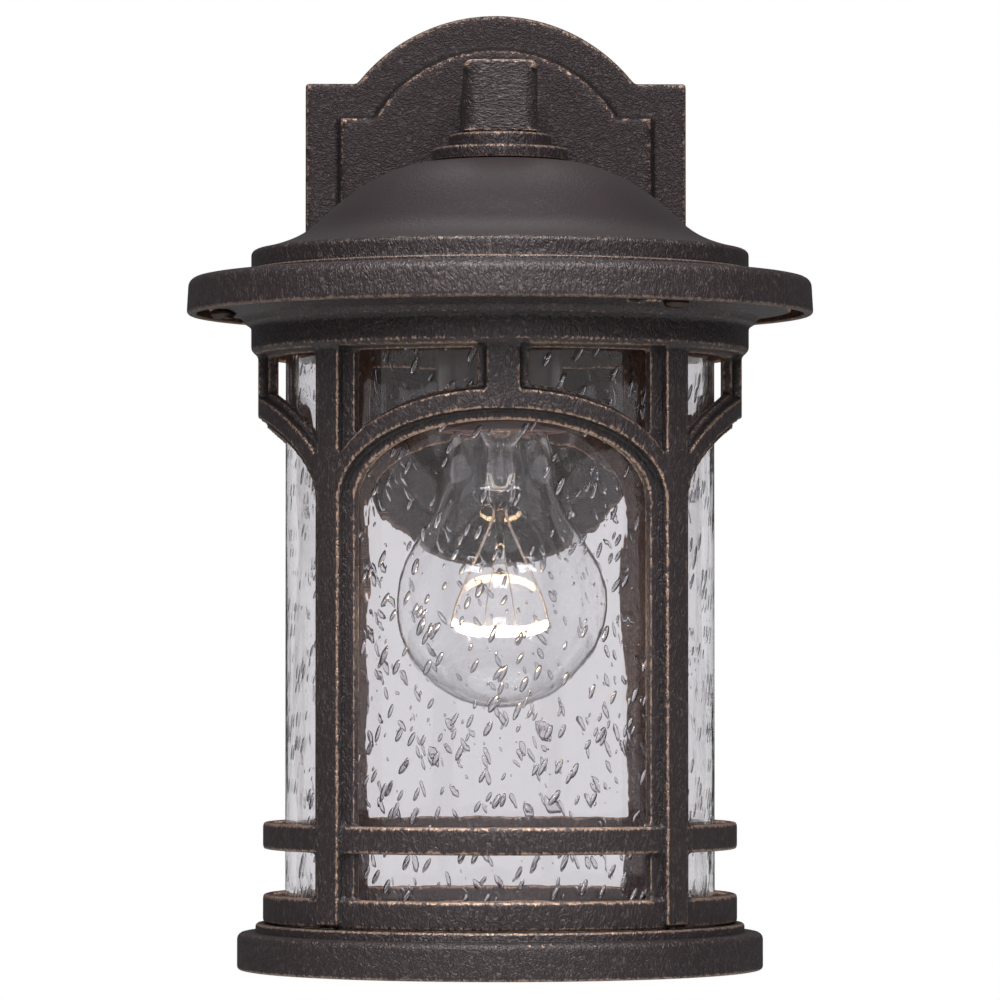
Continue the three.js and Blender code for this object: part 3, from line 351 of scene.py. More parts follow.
def bronze_finish(
    name, stretch, turn, depth=1.0, rub=1.0, painted_light_level=1.0, shine=0.5, dulness=0.40, smooth_above=None
):
    """Dark bronze over a wrinkled casting, its edges rubbed to copper, with painted shade darkening its
    corners, painted highlights on the crests of its wrinkles, and a level for each part that paints its colour
    lighter or darker for the light it gets. The stored bend attribute is 1 on its edges and -1 in its corners.
    """
    paint = Paint(name)
    where = paint.place(stretch, turn)
    plain = paint.place()
    drift = paint.node("ShaderNodeTexNoise", {}, {"Vector": where, "Scale": 380, "Detail": 2}, result=1)
    shifted = paint.node(
        "ShaderNodeVectorMath", {"operation": "MULTIPLY_ADD"}, {0: drift, 1: (0.0022,) * 3, 2: where}
    )
    long_creases = paint.over((paint.noise(shifted, 640, 1) - 0.5).size(), 0.0, 0.15)
    short_creases = paint.over((paint.noise(shifted, 1250, 1) - 0.5).size(), 0.0, 0.15)
    hide = long_creases * 0.55 + short_creases * 0.45
    if smooth_above is not None:
        height = paint.node("ShaderNodeSeparateXYZ", {}, {0: plain}, result=2)
        hide = hide * (1 - paint.over(height, smooth_above - 0.001, smooth_above + 0.001) * 0.72)
    patches = paint.noise(plain, 26, 3)
    speck = paint.noise(plain, 620, 2)
    wear_and_shade = paint.node("ShaderNodeAttribute", {"attribute_name": "wear_and_shade"}, result=2)
    rubbed = paint.over(wear_and_shade + hide * 0.45 + speck * 0.85, 1.18, 1.62) * rub
    # Darkening of the concave corners towards near black: painted shade.
    corner_shade = paint.over(0 - wear_and_shade, 0.12, 0.7)
    dark, light = (0.024, 0.0176, 0.0194), (0.038, 0.0280, 0.0302)
    # The level given for each part scales its colour lighter or darker for the light that part gets: painted
    # light and shade.
    body = paint.between([painted_light_level * c for c in dark], [painted_light_level * c for c in light], patches)
    # Lighter brown on the crests of the wrinkles, flecked by noise, stands in for their glints: painted
    # highlight.
    crest_highlight = paint.over(hide, 0.50, 1.0) * (0.07 + paint.over(speck, 0.46, 0.66) * 0.26)
    flecked = paint.between(body, [painted_light_level * c for c in (0.22, 0.163, 0.148)], crest_highlight)
    edged = paint.between(flecked, (0.42, 0.285, 0.215), rubbed * 0.9)
    paint.set(
        # The near black mixed in here by the corner mask is painted shade.
        Base_Color=paint.between(edged, (0.008, 0.006, 0.006), corner_shade * 0.8),
        Metallic=0.30 + rubbed * 0.45,
        Specular_IOR_Level=shine,
        Roughness=dulness - rubbed * 0.06 + patches * 0.08,
        Normal=paint.bump(hide, 0.20 * mm * depth, 0.9),
    )
    return paint.material


def mark_wear_and_shade(obj, radius=1.3, passes=1):
    """Stores how sharply the surface bends: 1 on an edge of that radius in millimetres, -1 in a corner. The
    bronze rubs its edges to copper by it and darkens its corners with painted shade.
    """
    shape = bmesh.new()
    shape.from_mesh(obj.data)
    shape.faces.ensure_lookup_table()
    bends = [0.0] * len(shape.verts)
    areas = [1e-12] * len(shape.verts)
    for face in shape.faces:
        share = face.calc_area() / len(face.verts)
        for vert in face.verts:
            areas[vert.index] += share
    for edge in shape.edges:
        if len(edge.link_faces) == 2:
            bend = edge.calc_face_angle_signed(0.0) * edge.calc_length() / 4
            for vert in edge.verts:
                bends[vert.index] += bend
    values = [
        max(-1.0, min(1.0, 2 * radius * mm * bend / area)) for bend, area in zip(bends, areas)
    ]
    for _ in range(passes):
        values = [
            (2 * values[v.index] + sum(values[e.other_vert(v).index] for e in v.link_edges))
            / (2 + len(v.link_edges))
            for v in shape.verts
        ]
    shape.free()
    stored = obj.data.attributes.new("wear_and_shade", "FLOAT", "POINT")
    stored.data.foreach_set("value", values)
    return obj


def cast(obj, voxel, smoothing=3, kept=1.0):
    """Fuses the parts of a casting into one skin with softened edges."""
    size = voxel * 1
    modified(obj, "REMESH", mode="VOXEL", voxel_size=size * mm)
    modified(obj, "SMOOTH", factor=0.5, iterations=smoothing)
    if kept < 1:
        modified(obj, "DECIMATE", ratio=kept)
    alone(obj)
    bpy.ops.object.shade_smooth()
    return obj


def plate_corners(inset):
    """The plate's outline drawn in by an inset: its straight sides and shoulders, and its two arches."""
    half = 57.15 - inset
    shoulder = 62.0 - inset
    arch_r = 52.7 - inset
    arch_centre = 29.8
    arch_half = math.sqrt(arch_r**2 - (shoulder - arch_centre) ** 2)
    start = math.atan2(shoulder - arch_centre, arch_half)
    steps = 40
    upper = []
    for k in range(steps + 1):
        angle = start + (math.pi - 2 * start) * k / steps
        upper.append((arch_r * math.cos(angle), arch_centre + arch_r * math.sin(angle)))
    right = [(half, -shoulder), (half, shoulder)]
    left = [(-half, shoulder), (-half, -shoulder)]
    lower = [(-x, -z) for x, z in upper]
    return right + upper + left + lower


def standing_slab(name, corners, near, far, rounding):
    """A slab between two distances from the wall, its front edge rounded over."""
    slab = wire_outline(name, [(x, -near, z) for x, z in corners])
    editing(slab)
    bpy.ops.mesh.extrude_region_move(TRANSFORM_OT_translate={"value": (0, -(far - near) * mm, 0)})
    finished_editing()
    cleaned(slab)
    if rounding:
        choosing(slab, "EDGE", lambda ends: all(abs(end.y + far) < 0.01 for end in ends))
        bpy.ops.mesh.bevel(offset=rounding * mm, segments=3, affect="EDGES")
        finished_editing()
    return slab


def drilled(obj, places, r, near, far, sides=48):
    """Holes straight back towards the wall at each (x, z)."""
    for x, z in places:
        deselected()
        bpy.ops.mesh.primitive_cylinder_add(
            vertices=sides, radius=r * mm, depth=(far - near) * mm,
            location=(x * mm, -(near + far) / 2 * mm, z * mm), rotation=(math.pi / 2, 0, 0),
        )
        drill = bpy.context.active_object
        bpy.ops.object.transform_apply()
        combined(obj, drill, "DIFFERENCE")
    return obj


plate = standing_slab("plate", plate_corners(0), 0, PLATE_FRONT, 1.3)
panel = standing_slab("panel", plate_corners(10.3), PLATE_FRONT - 1, PANEL_FRONT, 1.5)
hollow = standing_slab("hollow", plate_corners(2.8), -2, 15.2, 0)
combined(plate, panel, "UNION")
combined(plate, hollow, "DIFFERENCE")
boss = turned("boss", [(0, 10.2), (4, 10.2), (4, 16.6), (0, 16.6)], 40, Vector((0, 0, EARTH_SCREW_Z)), "out")
combined(plate, boss, "UNION")
drilled(plate, [(0, ARM_MIDDLE)], PIPE_HOLE_R, 14, 22)
drilled(plate, [(-STUD_OUT, 0), (STUD_OUT, 0)], 2.45, 14, 22)
drilled(plate, [(0, EARTH_SCREW_Z)], 2.25, 9, 15.2)
cast(plate, PLATE_VOXEL, 3, 0.55)
mark_wear_and_shade(plate, 1.1, 1)
plate.name = "backplate_casting"
# The plate's copy is painted darker, level 0.66, as painted shade.
painted(plate, bronze_finish("bronze_plate", (0.8, 1, 1.2), (0, 32, 0), 0.8, 0.5, 0.66, 0.14))
fitted(plate, "wall_side", "bronze_casting", "backplate")

# ------------------------------------------------------------ arm
# A short hollow casting, square in section, with its long upper edges and its nose corners rounded. The pipe
# from the plate is threaded into its rear end.
arm_corners = rounded([
    (-10.55, 38.2, 0.6), (10.55, 38.2, 0.6), (10.55, 58.6, 2.4), (-10.55, 58.6, 2.4),
], 5)
arm = standing_slab("arm_casting", arm_corners, 20.5, 124.4, 0)
choosing(arm, "EDGE", lambda ends: all(abs(end.y + 124.4) < 0.01 and abs(end.x) > 10.5 for end in ends))
bpy.ops.mesh.bevel(offset=4.3 * mm, segments=7, affect="EDGES")
finished_editing()
drilled(arm, [(0, ARM_MIDDLE)], PIPE_HOLE_R, 19, 40)
deselected()
bpy.ops.mesh.primitive_cube_add(
    size=1, location=(0, -79 * mm, ARM_MIDDLE * mm), scale=(11 * mm, 81 * mm, 9 * mm)
)
channel = bpy.context.active_object
bpy.ops.object.transform_apply()
combined(arm, channel, "DIFFERENCE")
deselected()
bpy.ops.mesh.primitive_cylinder_add(
    vertices=48, radius=PIPE_HOLE_R * mm, depth=12 * mm, location=(0, AXIS.y * mm, 43 * mm)
)
well = bpy.context.active_object
bpy.ops.object.transform_apply()
combined(arm, well, "DIFFERENCE")
cast(arm, 0.6, 3)
mark_wear_and_shade(arm, 1.1, 1)
# The arm's copy is painted darker, level 0.85, as painted shade.
painted(arm, bronze_finish("bronze_arm", (0.42, 1, 1.1), (0, 0, 0), 1.3, 0.6, 0.85, 0.32))
fitted(arm, "wall_side", "bronze_casting", "arm")

# ------------------------------------------------------------ neck collar
# A turned ring of two steps between the arm and the roof, held by the pipe through its middle.
neck = turned("neck_ring", rounded([
    (PIPE_HOLE_R, 31.8, 0.3), (19.3, 31.8, 0.5), (19.3, 35.4, 0.9), (14.5, 35.4, 0.4), (14.5, 39.4, 0.9),
    (PIPE_HOLE_R, 39.4, 0.3),
], 4, 0.6), 96)
mark_wear_and_shade(neck, 0.7)
# The rings' copy is painted darker, level 0.8, as painted shade.
ring_bronze = bronze_finish("bronze_rings", (1, 1, 0.5), (0, 20, 0), 1.1, 0.6, 0.8, 0.25)
painted(neck, ring_bronze)
fitted(neck, "wall_side", "bronze_casting", "neck_collar")

# ------------------------------------------------------------ roof
# A domed casting: full below the neck, hollow where it runs out to a low shoulder, then a small step and a
# wide brim with a deep edge. Three bosses under the brim take the screws that hold the cage.
DOME_STEPS = 22
ROOF_WALL = 2.8
CAGE_SCREW_ANGLES = (37, 157, 277)
CAGE_SCREW_OUT = 78.8  # from the lantern's axis


def dome_line(inset):
    """The dome's curve from the neck to the shoulder, drawn in by an inset."""
    def at(along_run, along_drop):
        return Vector((19.3 + along_run * 51.3 - 0.8 * inset, 31.5 - along_drop * 25.3 - inset))

    def curve(a, b, c, d):
        for k in range(1, DOME_STEPS + 1):
            t = k / DOME_STEPS
            yield (1 - t) ** 3 * a + 3 * t * (1 - t) ** 2 * b + 3 * t * t * (1 - t) * c + t**3 * d

    full = curve(at(0, 0), at(0.27, 0.05), at(0.475, 0.37), at(0.615, 0.65))
    hollow_part = curve(at(0.615, 0.65), at(0.705, 0.83), at(0.795, 0.915), at(0.97, 1))
    return [tuple(at(0, 0))] + [tuple(point) for point in (*full, *hollow_part)]


def round_axis(degrees, out):
    """A place at an angle round the lantern's axis, from the front towards +X, and a distance out from it."""
    angle = math.radians(degrees)
    return AXIS + Vector((out * math.sin(angle), -out * math.cos(angle), 0))


roof_outside = rounded([
    (67.5, 6.35), (70.6, 6.2, 1.6), (70.6, 0.6, 0.5), (72.0, 0.6, 0.5), (72.0, -0.7, 0.4),
    (88.3, -1.7, 2.6), (88.9, -12.0, 1.1), (86.1, -12.0, 0.7), (86.1, -4.5, 1.2),
    (67.8, -4.5, 1.0), (67.8, 3.4),
], 5, 0.9, closed=False)
roof_profile = [(PIPE_HOLE_R, 31.5)] + dome_line(0)[:-2] + roof_outside[1:-1]
roof_profile += list(reversed(dome_line(ROOF_WALL)[2:-1])) + [(PIPE_HOLE_R, 31.5 - ROOF_WALL)]
roof = turned("roof_casting", roof_profile, 160)
for degrees in CAGE_SCREW_ANGLES:
    spot = round_axis(degrees, CAGE_SCREW_OUT)
    pillar = turned("pillar", [(0, -8.2), (4.6, -8.2), (4.6, -3.4), (0, -3.4)], 32, spot)
    combined(roof, pillar, "UNION")
    tapping = turned("tapping", [(0, -9), (2.35, -9), (2.35, -2.8), (0, -2.8)], 24, spot)
    combined(roof, tapping, "DIFFERENCE")
alone(roof)
bpy.ops.object.shade_smooth_by_angle(angle=math.radians(40))
mark_wear_and_shade(roof, 0.9)
painted(roof, bronze_finish("bronze_roof", (1, 1, 0.5), (0, 20, 0), 0.9, 0.40, 1.0, 0.5, 0.36, 0.0045))
fitted(roof, "wall_side", "bronze_casting", "roof")

# ------------------------------------------------------------ cage
# One casting: a flange and collar under the roof, four posts with four arched bays and short struts between
# them, a rail and a drum. Every post, arch and strut carries a raised rib.
CAGE_VOXEL = 0.6
CAGE_R = 66.0
CAGE_BORE_R = 63.3
RIB_FRONT = 68.6  # face of the ribs
RIB_BACK = 65.0  # the ribs start inside the plain wall, so that the two fuse
RAIL_R = 67.1
CAGE_FOOT = -183.7
SPRINGING = -66.4  # level from which the arches rise


def flat_slab(half_width, middle, foot, top, near, far):
    """A strip of the cage laid out flat: x runs round the cage and y is minus the distance from the axis."""
    deselected()
    bpy.ops.mesh.primitive_cube_add(
        size=1,
        location=(middle * mm, -(near + far) / 2 * mm, (foot + top) / 2 * mm),
        scale=(2 * half_width * mm, (far - near) * mm, (top - foot) * mm),
    )
    slab = bpy.context.active_object
    bpy.ops.object.transform_apply()
    editing(slab)
    bpy.ops.mesh.subdivide(number_cuts=5)
    finished_editing()
    return slab


def flat_arch(half, rise, outer_half, outer_rise, near, far):
    """A half-elliptical band laid out flat, standing on the springing line."""
    deselected()
    bpy.ops.mesh.primitive_circle_add(
        vertices=128, radius=mm, location=(0, -near * mm, SPRINGING * mm), rotation=(math.pi / 2, 0, 0),
    )
    band = bpy.context.active_object
    bpy.ops.object.transform_apply()
    choosing(band, "VERT", lambda ends: ends[0].z < SPRINGING - 0.001)
    bpy.ops.mesh.delete(type="VERT")
    bpy.ops.mesh.select_all(action="SELECT")
    foot = (0, -near * mm, SPRINGING * mm)
    bpy.ops.transform.resize(value=(half, 1, rise), center_override=foot)
    bpy.ops.mesh.extrude_edges_move()
    bpy.ops.transform.resize(value=(outer_half / half, 1, outer_rise / rise), center_override=foot)
    bpy.ops.mesh.select_all(action="SELECT")
    bpy.ops.mesh.extrude_region_move(TRANSFORM_OT_translate={"value": (0, -(far - near) * mm, 0)})
    finished_editing()
    return cleaned(band)


def rolled(flat, degrees):
    """A copy of a flat pattern wrapped round the cage."""
    copy = flat.copy()
    copy.data = flat.data.copy()
    bpy.context.collection.objects.link(copy)
    for vertex in copy.data.vertices:
        x, y, z = vertex.co
        angle = x / (CAGE_R * mm) + math.radians(degrees)
        vertex.co = (-y * math.sin(angle), AXIS.y * mm + y * math.cos(angle), z + AXIS.z * mm)
    return copy


bay = merged(
    "bay",
    flat_arch(44.14, 22.2, 53.34, 32.2, CAGE_BORE_R, CAGE_R),
    flat_arch(47.79, 25.2, 52.59, 30.7, RIB_BACK, RIB_FRONT),
    flat_slab(7.1, 0, -39, -22.8, CAGE_BORE_R, CAGE_R),
    flat_slab(4.5, 0, -38.5, -22.8, RIB_BACK, RIB_FRONT),
    flat_slab(7.7, 51.84, CAGE_FOOT, -22.8, CAGE_BORE_R, CAGE_R),
    flat_slab(4.05, 51.84, CAGE_FOOT + 1, -22.8, RIB_BACK, RIB_FRONT),
)
bays = [rolled(bay, degrees) for degrees in (0, 90, 180, 270)]
bpy.data.objects.remove(bay)
head = turned("cage_head", rounded([
    (CAGE_BORE_R, -24.4), (CAGE_R, -24.4), (CAGE_R, -23.4), (69.2, -23.4, 0.4), (70.6, -22, 0.8),
    (70.6, -15.3, 0.4),
    (72, -14.9, 0.5), (73.4, -12.9, 0.8), (76.6, -11.6, 0.8), (78, -11), (82.8, -11, 0.6),
    (82.8, -8.5, 0.6), (CAGE_BORE_R, -8.5, 0.4),
], 4), 160)


def keyhole_cutter(degrees):
    """A screw's round entry and the narrow slot it turns into, with a flat seat under its head."""
    cutters = []
    drills = [(8, 4.2, -7.5), (0, 3.95, -11)] + [(turn, 2.35, -7.5) for turn in (0, 1.6, 3.2, 4.8, 6.4, 8)]
    for turn, r, top in drills:
        spot = round_axis(degrees - turn, CAGE_SCREW_OUT)
        cutters.append(turned("cutter", [(0, -15.3), (r, -15.3), (r, top), (0, top)], 32, spot))
    whole = cutters[0]
    for cutter in cutters[1:]:
        combined(whole, cutter, "UNION")
    return whole


for degrees in CAGE_SCREW_ANGLES:
    combined(head, keyhole_cutter(degrees), "DIFFERENCE")
rail = turned("rail", rounded([
    (CAGE_BORE_R, -163.1), (RAIL_R, -163.1, 0.8), (RAIL_R, -155.5, 0.8), (CAGE_BORE_R, -155.5),
]), 160)
drum = turned("drum", rounded([
    (CAGE_BORE_R, CAGE_FOOT), (RAIL_R, CAGE_FOOT), (RAIL_R, -175.7, 0.8), (CAGE_BORE_R, -175.7),
]), 160)
cage = merged("cage_casting", head, rail, drum, *bays)
cast(cage, CAGE_VOXEL, 2, 0.33)
mark_wear_and_shade(cage, 1.15, 1)
# The cage's copy is painted a little lighter, level 1.05, as painted light.
painted(cage, bronze_finish("bronze_cage", (1, 1, 0.55), (0, 18, 0), 1.0, 1.0, 1.05, 0.55))
fitted(cage, "cage", "bronze_casting", "cage")

# ------------------------------------------------------------ glass cylinder
# A moulded cylinder of clear seeded glass, its wall full of small drawn-out bubbles that all lean one way.
# Its surface is a little wavy, and it stands loose on the base inside the cage.
SEEDS = 1900


def seeded_finish():
    paint = Paint("seeded_glass")
    where = paint.place((1, 1, 0.35))
    waves = paint.noise(where, 55, 1, 0.5, 0.6)
    ripple = paint.noise(paint.place((1, 1, 0.5)), 260, 2)
    paint.set(
        Base_Color=(0.825, 0.812, 0.832),
        Roughness=0.0,
        IOR=1.5,
        Transmission_Weight=1.0,
        Normal=paint.bump(waves + ripple * 0.035, 1.2 * mm, 0.35),
    )
    return paint.material


glass = turned("seeded_glass_cylinder", rounded([
    (57.8, -183.7, 0.8), (60.8, -183.7, 0.8), (60.8, -17.5, 1.2), (57.8, -17.5, 1.2),
], 4), 192)
deselected()
bpy.ops.mesh.primitive_uv_sphere_add(segments=8, ring_count=6, radius=mm)
seed = bpy.context.active_object
editing(seed)
bpy.ops.transform.resize(value=(0.36, 0.36, 1.0))
bpy.ops.mesh.flip_normals()
finished_editing()
draw = random.Random(11)
seed_shape = [vertex.co.copy() for vertex in seed.data.vertices]
seed_faces = [list(face.vertices) for face in seed.data.polygons]
bpy.data.objects.remove(seed)
seed_points, seed_polygons = [], []
for _ in range(SEEDS):
    around = draw.uniform(0, 2 * math.pi)
    height = draw.uniform(-181, -20)
    length = draw.choice((0.35, 0.7, 1.4, 1.9, 2.2, 2.5)) * draw.uniform(0.85, 1.15)
    width = 0.35 + length * draw.uniform(0.55, 0.8)
    lean = Matrix.Rotation(math.radians(draw.gauss(24, 5)), 3, "Y")
    set_round = Matrix.Rotation(around, 3, "Z")
    depth = draw.uniform(58.9, 59.7)
    first = len(seed_points)
    for point in seed_shape:
        sized = Vector((point.x * width * 1.15, point.y * width * 0.42, point.z * length))
        at = set_round @ (lean @ sized + Vector((0, -depth * mm, 0)))
        seed_points.append(at + (AXIS + Vector((0, 0, height))) * mm)
    seed_polygons += [[first + i for i in face] for face in seed_faces]
seed_mesh = bpy.data.meshes.new("seeds")
seed_mesh.from_pydata(seed_points, [], seed_polygons)
seeds = bpy.data.objects.new("seeds", seed_mesh)
bpy.context.collection.objects.link(seeds)
alone(seeds)
bpy.ops.object.shade_smooth()
merged("seeded_glass_cylinder", glass, seeds)
glass.visible_shadow = False
painted(glass, seeded_finish())
fitted(glass, "cage", "seeded_glass", "glass_cylinder")

# ------------------------------------------------------------ base
# A turned and cast ring under the cage: a small step, then a wide rounded foot with a hollow back. A low rib
# keeps the glass in the middle, and the ring is open below the bulb.
base = turned("base_casting", rounded([
    (44, -195.7, 0.5), (46.8, -195.7, 0.5), (46.8, -189.4, 0.5), (71.6, -189.4, 0.8), (71.6, -197.1, 0.4),
    (74.4, -197.1, 1.0), (74.4, -186.6, 1.9), (69.2, -186.6, 0.5), (69.2, -184.0, 0.9), (57.2, -184.0, 0.3),
    (57.2, -180.0, 0.5), (55.2, -180.0, 0.5), (55.2, -184.0, 0.3), (44, -184.0, 0.5),
], 4), 160)
mark_wear_and_shade(base, 0.8)
painted(base, bronze_finish("bronze_base", (1, 1, 0.75), (0, 12, 0), 1.0, 0.75))
fitted(base, "cage", "bronze_casting", "base")

# ------------------------------------------------------------ lampholder
# A dark brown moulded phenolic shell in two parts, screwed on the pipe, with a thin brass thread for the bulb
# and a brass contact at its top.
def phenolic_finish():
    paint = Paint("phenolic")
    where = paint.place()
    cloud = paint.noise(where, 130, 4)
    grit = paint.noise(where, 1600, 2)
    paint.set(
        Base_Color=paint.between((0.030, 0.010, 0.008), (0.062, 0.020, 0.015), cloud),
        Roughness=0.30 + cloud * 0.12,
        Coat_Weight=0.3,
        Normal=paint.bump(grit, 0.03 * mm, 0.4),
    )
    return paint.material


def metal_finish(name, low, high, roughness):
    paint = Paint(name)
    cloud = paint.noise(paint.place(), 240, 4)
    scuffs = paint.noise(paint.place((1, 1, 14)), 160, 2)
    paint.set(
        Base_Color=paint.between(low, high, cloud),
        Metallic=1.0,
        Roughness=roughness + cloud * 0.10 + scuffs * 0.06,
        Normal=paint.bump(scuffs, 0.02 * mm, 0.4),
    )
    return paint.material


phenolic = phenolic_finish()
brass = metal_finish("brass", (0.60, 0.36, 0.20), (0.80, 0.50, 0.30), 0.22)
nickel = metal_finish("nickel", (0.56, 0.48, 0.42), (0.74, 0.66, 0.60), 0.18)
holder = turned("holder_shell", rounded([
    (0.4, -15.7), (16.2, -15.7, 0.8), (16.2, -45.3, 0.5), (18.4, -45.3, 0.7), (18.4, -42.0, 0.3),
    (17.7, -41.2, 0.3), (17.7, -14.0, 0.4), (18.4, -13.2, 0.3), (18.4, -11.3, 0.4), (0.4, -11.3),
], 4, 0.6), 96)
painted(holder, phenolic)
fitted(holder, "wall_side", "phenolic", "lampholder_body")
holder_cap = turned("holder_cap", rounded([
    (16.2, -11.0, 0.3), (18.4, -11.0, 0.3), (18.4, -8.8, 0.9), (9.6, -1.6, 2.0), (8.5, 1.0, 0.5),
    (PIPE_HOLE_R, 1.0, 0.3), (PIPE_HOLE_R, -3.4, 0.4),
], 4, 0.6), 96)
painted(holder_cap, phenolic)
fitted(holder_cap, "wall_side", "phenolic", "lampholder_cap")
thread = [(14.3 - 0.5 * (k % 2), -43.1 + 1.13 * k) for k in range(24)]
shell = turned(
    "holder_thread", thread + [(r - 0.6, z) for r, z in reversed(thread)], 96
)
painted(shell, brass)
fitted(shell, "wall_side", "brass", "lampholder_screw_shell")
painted(nodes["lampholder_centre_contact"], brass)

# ------------------------------------------------------------ bulb
# A clear household bulb: a thin blown globe cemented in a plated screw cap, with a glass stem that carries
# two lead wires and a pair of fine hooks, and a white-hot coiled filament slung between them.
GLOBE = -93.6


def clear_finish(name, tint):
    paint = Paint(name)
    waves = paint.noise(paint.place(), 55, 2)
    paint.set(
        Base_Color=tint,
        Roughness=0.0,
        IOR=1.45,
        Transmission_Weight=1.0,
        Normal=paint.bump(waves, 0.15 * mm, 0.3),
    )
    return paint.material


def bulb_line(inset):
    """The bulb's surface from the cap's rim down to the tip, drawn in by an inset."""
    def curve(a, b, c):
        a, b, c = Vector(a), Vector(b), Vector(c)
        steps = [k / 14 for k in range(14)]
        return [tuple((1 - t) ** 2 * a + 2 * t * (1 - t) * b + t * t * c) for t in steps]

    globe_r = 29.8 - inset
    neck_r = 15.6 - inset
    leave = math.pi / 5
    joined = (globe_r * math.cos(leave), GLOBE + globe_r * math.sin(leave))
    line = curve((12.7 - inset, -44.1), (neck_r, -46.3), (neck_r, -57.3))
    line += curve((neck_r, -57.3), (neck_r, GLOBE + 29.8), joined)
    steps = 30
    for k in range(steps + 1):
        angle = leave - (leave + math.pi / 2) * k / steps
        line.append((max(0.0, globe_r * math.cos(angle)), GLOBE + globe_r * math.sin(angle)))
    line[-1] = (0.0, line[-1][1])
    return line


globe = turned("bulb_globe", list(reversed(bulb_line(0))) + bulb_line(0.7), 96)
globe.visible_shadow = False
painted(globe, clear_finish("bulb_glass", (0.975, 0.98, 0.985)))
fitted(globe, "bulb", "bulb_glass", "bulb_glass")

cap_line = [(13 - 0.75 * (1 - math.cos(k * math.pi / 3)) / 2, -43.8 + 0.6 * k) for k in range(36)]
cap_outer = cap_line + [(11.6, -21.6), (7.6, -20.8)]
bulb_cap = turned("bulb_screw_cap", cap_outer + [(7.1, -21.3), (11.2, -22.2)] + [
    (r - 0.5, z) for r, z in reversed(cap_line)
], 96)
painted(bulb_cap, nickel)
fitted(bulb_cap, "bulb", "bulb_nickel", "bulb_cap")

stem = turned("bulb_glass_stem", rounded([
    (0, -67.4), (2.4, -67.2, 0.8), (4.2, -63.6, 1.5), (4.6, -57.0, 2.0), (4.4, -49.0, 2.0), (9.0, -41.8, 0.3),
    (8.1, -41.8, 0.3), (3.6, -49.0, 2.0), (3.8, -57.0, 1.5), (2.6, -61.6, 0.8), (0, -62.2),
], 5, 0.5, closed=False), 48)
rod = turned("rod", rounded([
    (0, -85.6), (2.1, -84.8, 0.9), (2.1, -83.0, 0.8), (1.5, -81.2, 0.6), (1.5, -66.0), (0, -66.0),
], 4, 0.5, closed=False), 32)
combined(stem, rod, "UNION")
alone(stem)
bpy.ops.object.shade_smooth()
stem.visible_shadow = False
painted(stem, clear_finish("stem_glass", (0.96, 0.96, 0.96)))
fitted(stem, "bulb", "bulb_glass", "bulb_stem")


def wire_along(name, points, r, sides=8):
    """A round wire along a smooth line through points in millimetres."""
    deselected()
    bpy.ops.curve.primitive_nurbs_path_add()
    obj = bpy.context.active_object
    obj.name = name
    curve = obj.data
    curve.splines.clear()
    spline = curve.splines.new("POLY")
    spline.points.add(len(points) - 1)
    for point, place in zip(spline.points, points):
        point.co = (*(Vector(place) * mm), 1)
    curve.dimensions = "3D"
    curve.bevel_depth = r * mm
    curve.bevel_resolution = max(1, sides // 4 - 1)
    curve.use_fill_caps = True
    bpy.ops.object.convert(target="MESH")
    obj = bpy.context.active_object
    cleaned(obj)
    bpy.ops.object.shade_smooth()
    return obj


def smooth_line(points, steps=10):
    """A Catmull-Rom line through points."""
    vectors = [Vector(p) for p in points]
    vectors = [2 * vectors[0] - vectors[1]] + vectors + [2 * vectors[-1] - vectors[-2]]
    line = []
    for a, b, c, d in zip(vectors, vectors[1:], vectors[2:], vectors[3:]):
        for k in range(steps):
            t = k / steps
            line.append(0.5 * (2 * b + (c - a) * t + (2 * a - 5 * b + 4 * c - d) * t * t
                               + (3 * b - a - 3 * c + d) * t**3))
    line.append(vectors[-2])
    return line


FILAMENT_Z = -99.6
for side, name in ((-1, "left"), (1, "right")):
    lead = wire_along("bulb_wire_" + name, [AXIS + p for p in smooth_line([
        (side * 1.7, 0, -66.5), (side * 2.4, 0, -70.5), (side * 6.0, 0.6, -79), (side * 11.8, 0.3, -91.5),
        (side * 13.6, 0, FILAMENT_Z + 1.4), (side * 13.9, 0, FILAMENT_Z - 0.6),
        (side * 13.2, 0, FILAMENT_Z - 0.8),
    ])], 0.42)
    painted(lead, nickel)
    fitted(lead, "bulb", "bulb_nickel", "bulb_lead_" + name)
    hook = wire_along("bulb_hook_" + name, [AXIS + p for p in smooth_line([
        (side * 0.9, 0, -82.6), (side * 2.6, 0, -86.2), (side * 4.4, 0, FILAMENT_Z + 0.8),
        (side * 4.7, 0, FILAMENT_Z - 3.0), (side * 4.1, 0, FILAMENT_Z - 3.3),
    ])], 0.2)
    painted(hook, nickel)
    fitted(hook, "bulb", "bulb_nickel")


def glowing_finish():
    paint = Paint("filament")
    heat = paint.noise(paint.place((1, 0.2, 0.2)), 180, 2)
    paint.set(
        Base_Color=paint.between((0.55, 0.42, 0.30), (1.0, 0.85, 0.6), heat),
        Roughness=0.5,
        Emission_Color=paint.between((1.0, 0.70, 0.38), (1.0, 0.84, 0.58), heat),
        Emission_Strength=80.0,
    )
    return paint.material


COILS = 40
coil_points = []
for k in range(COILS * 8 + 1):
    share = k / (COILS * 8)
    angle = 2 * math.pi * k / 8
    sag = -2.2 * (1 - (2 * share - 1) ** 4)
    coil_points.append(AXIS + Vector((
        13 * (2 * share - 1), 1.3 * math.cos(angle), FILAMENT_Z + sag + 1.3 * math.sin(angle),
    )))
filament = wire_along("filament_coil", coil_points, 0.26, 4)
painted(filament, glowing_finish())
fitted(filament, "bulb", "filament", "bulb_filament")

black_glass = Paint("black_glass")
black_cloud = black_glass.noise(black_glass.place(), 200, 3)
black_glass.set(
    Base_Color=black_glass.between((0.006, 0.006, 0.008), (0.016, 0.015, 0.02), black_cloud),
    Roughness=0.08 + black_cloud * 0.1,
)
painted(nodes["bulb_insulator"], black_glass.material)
painted(nodes["bulb_tip_contact"], nickel)

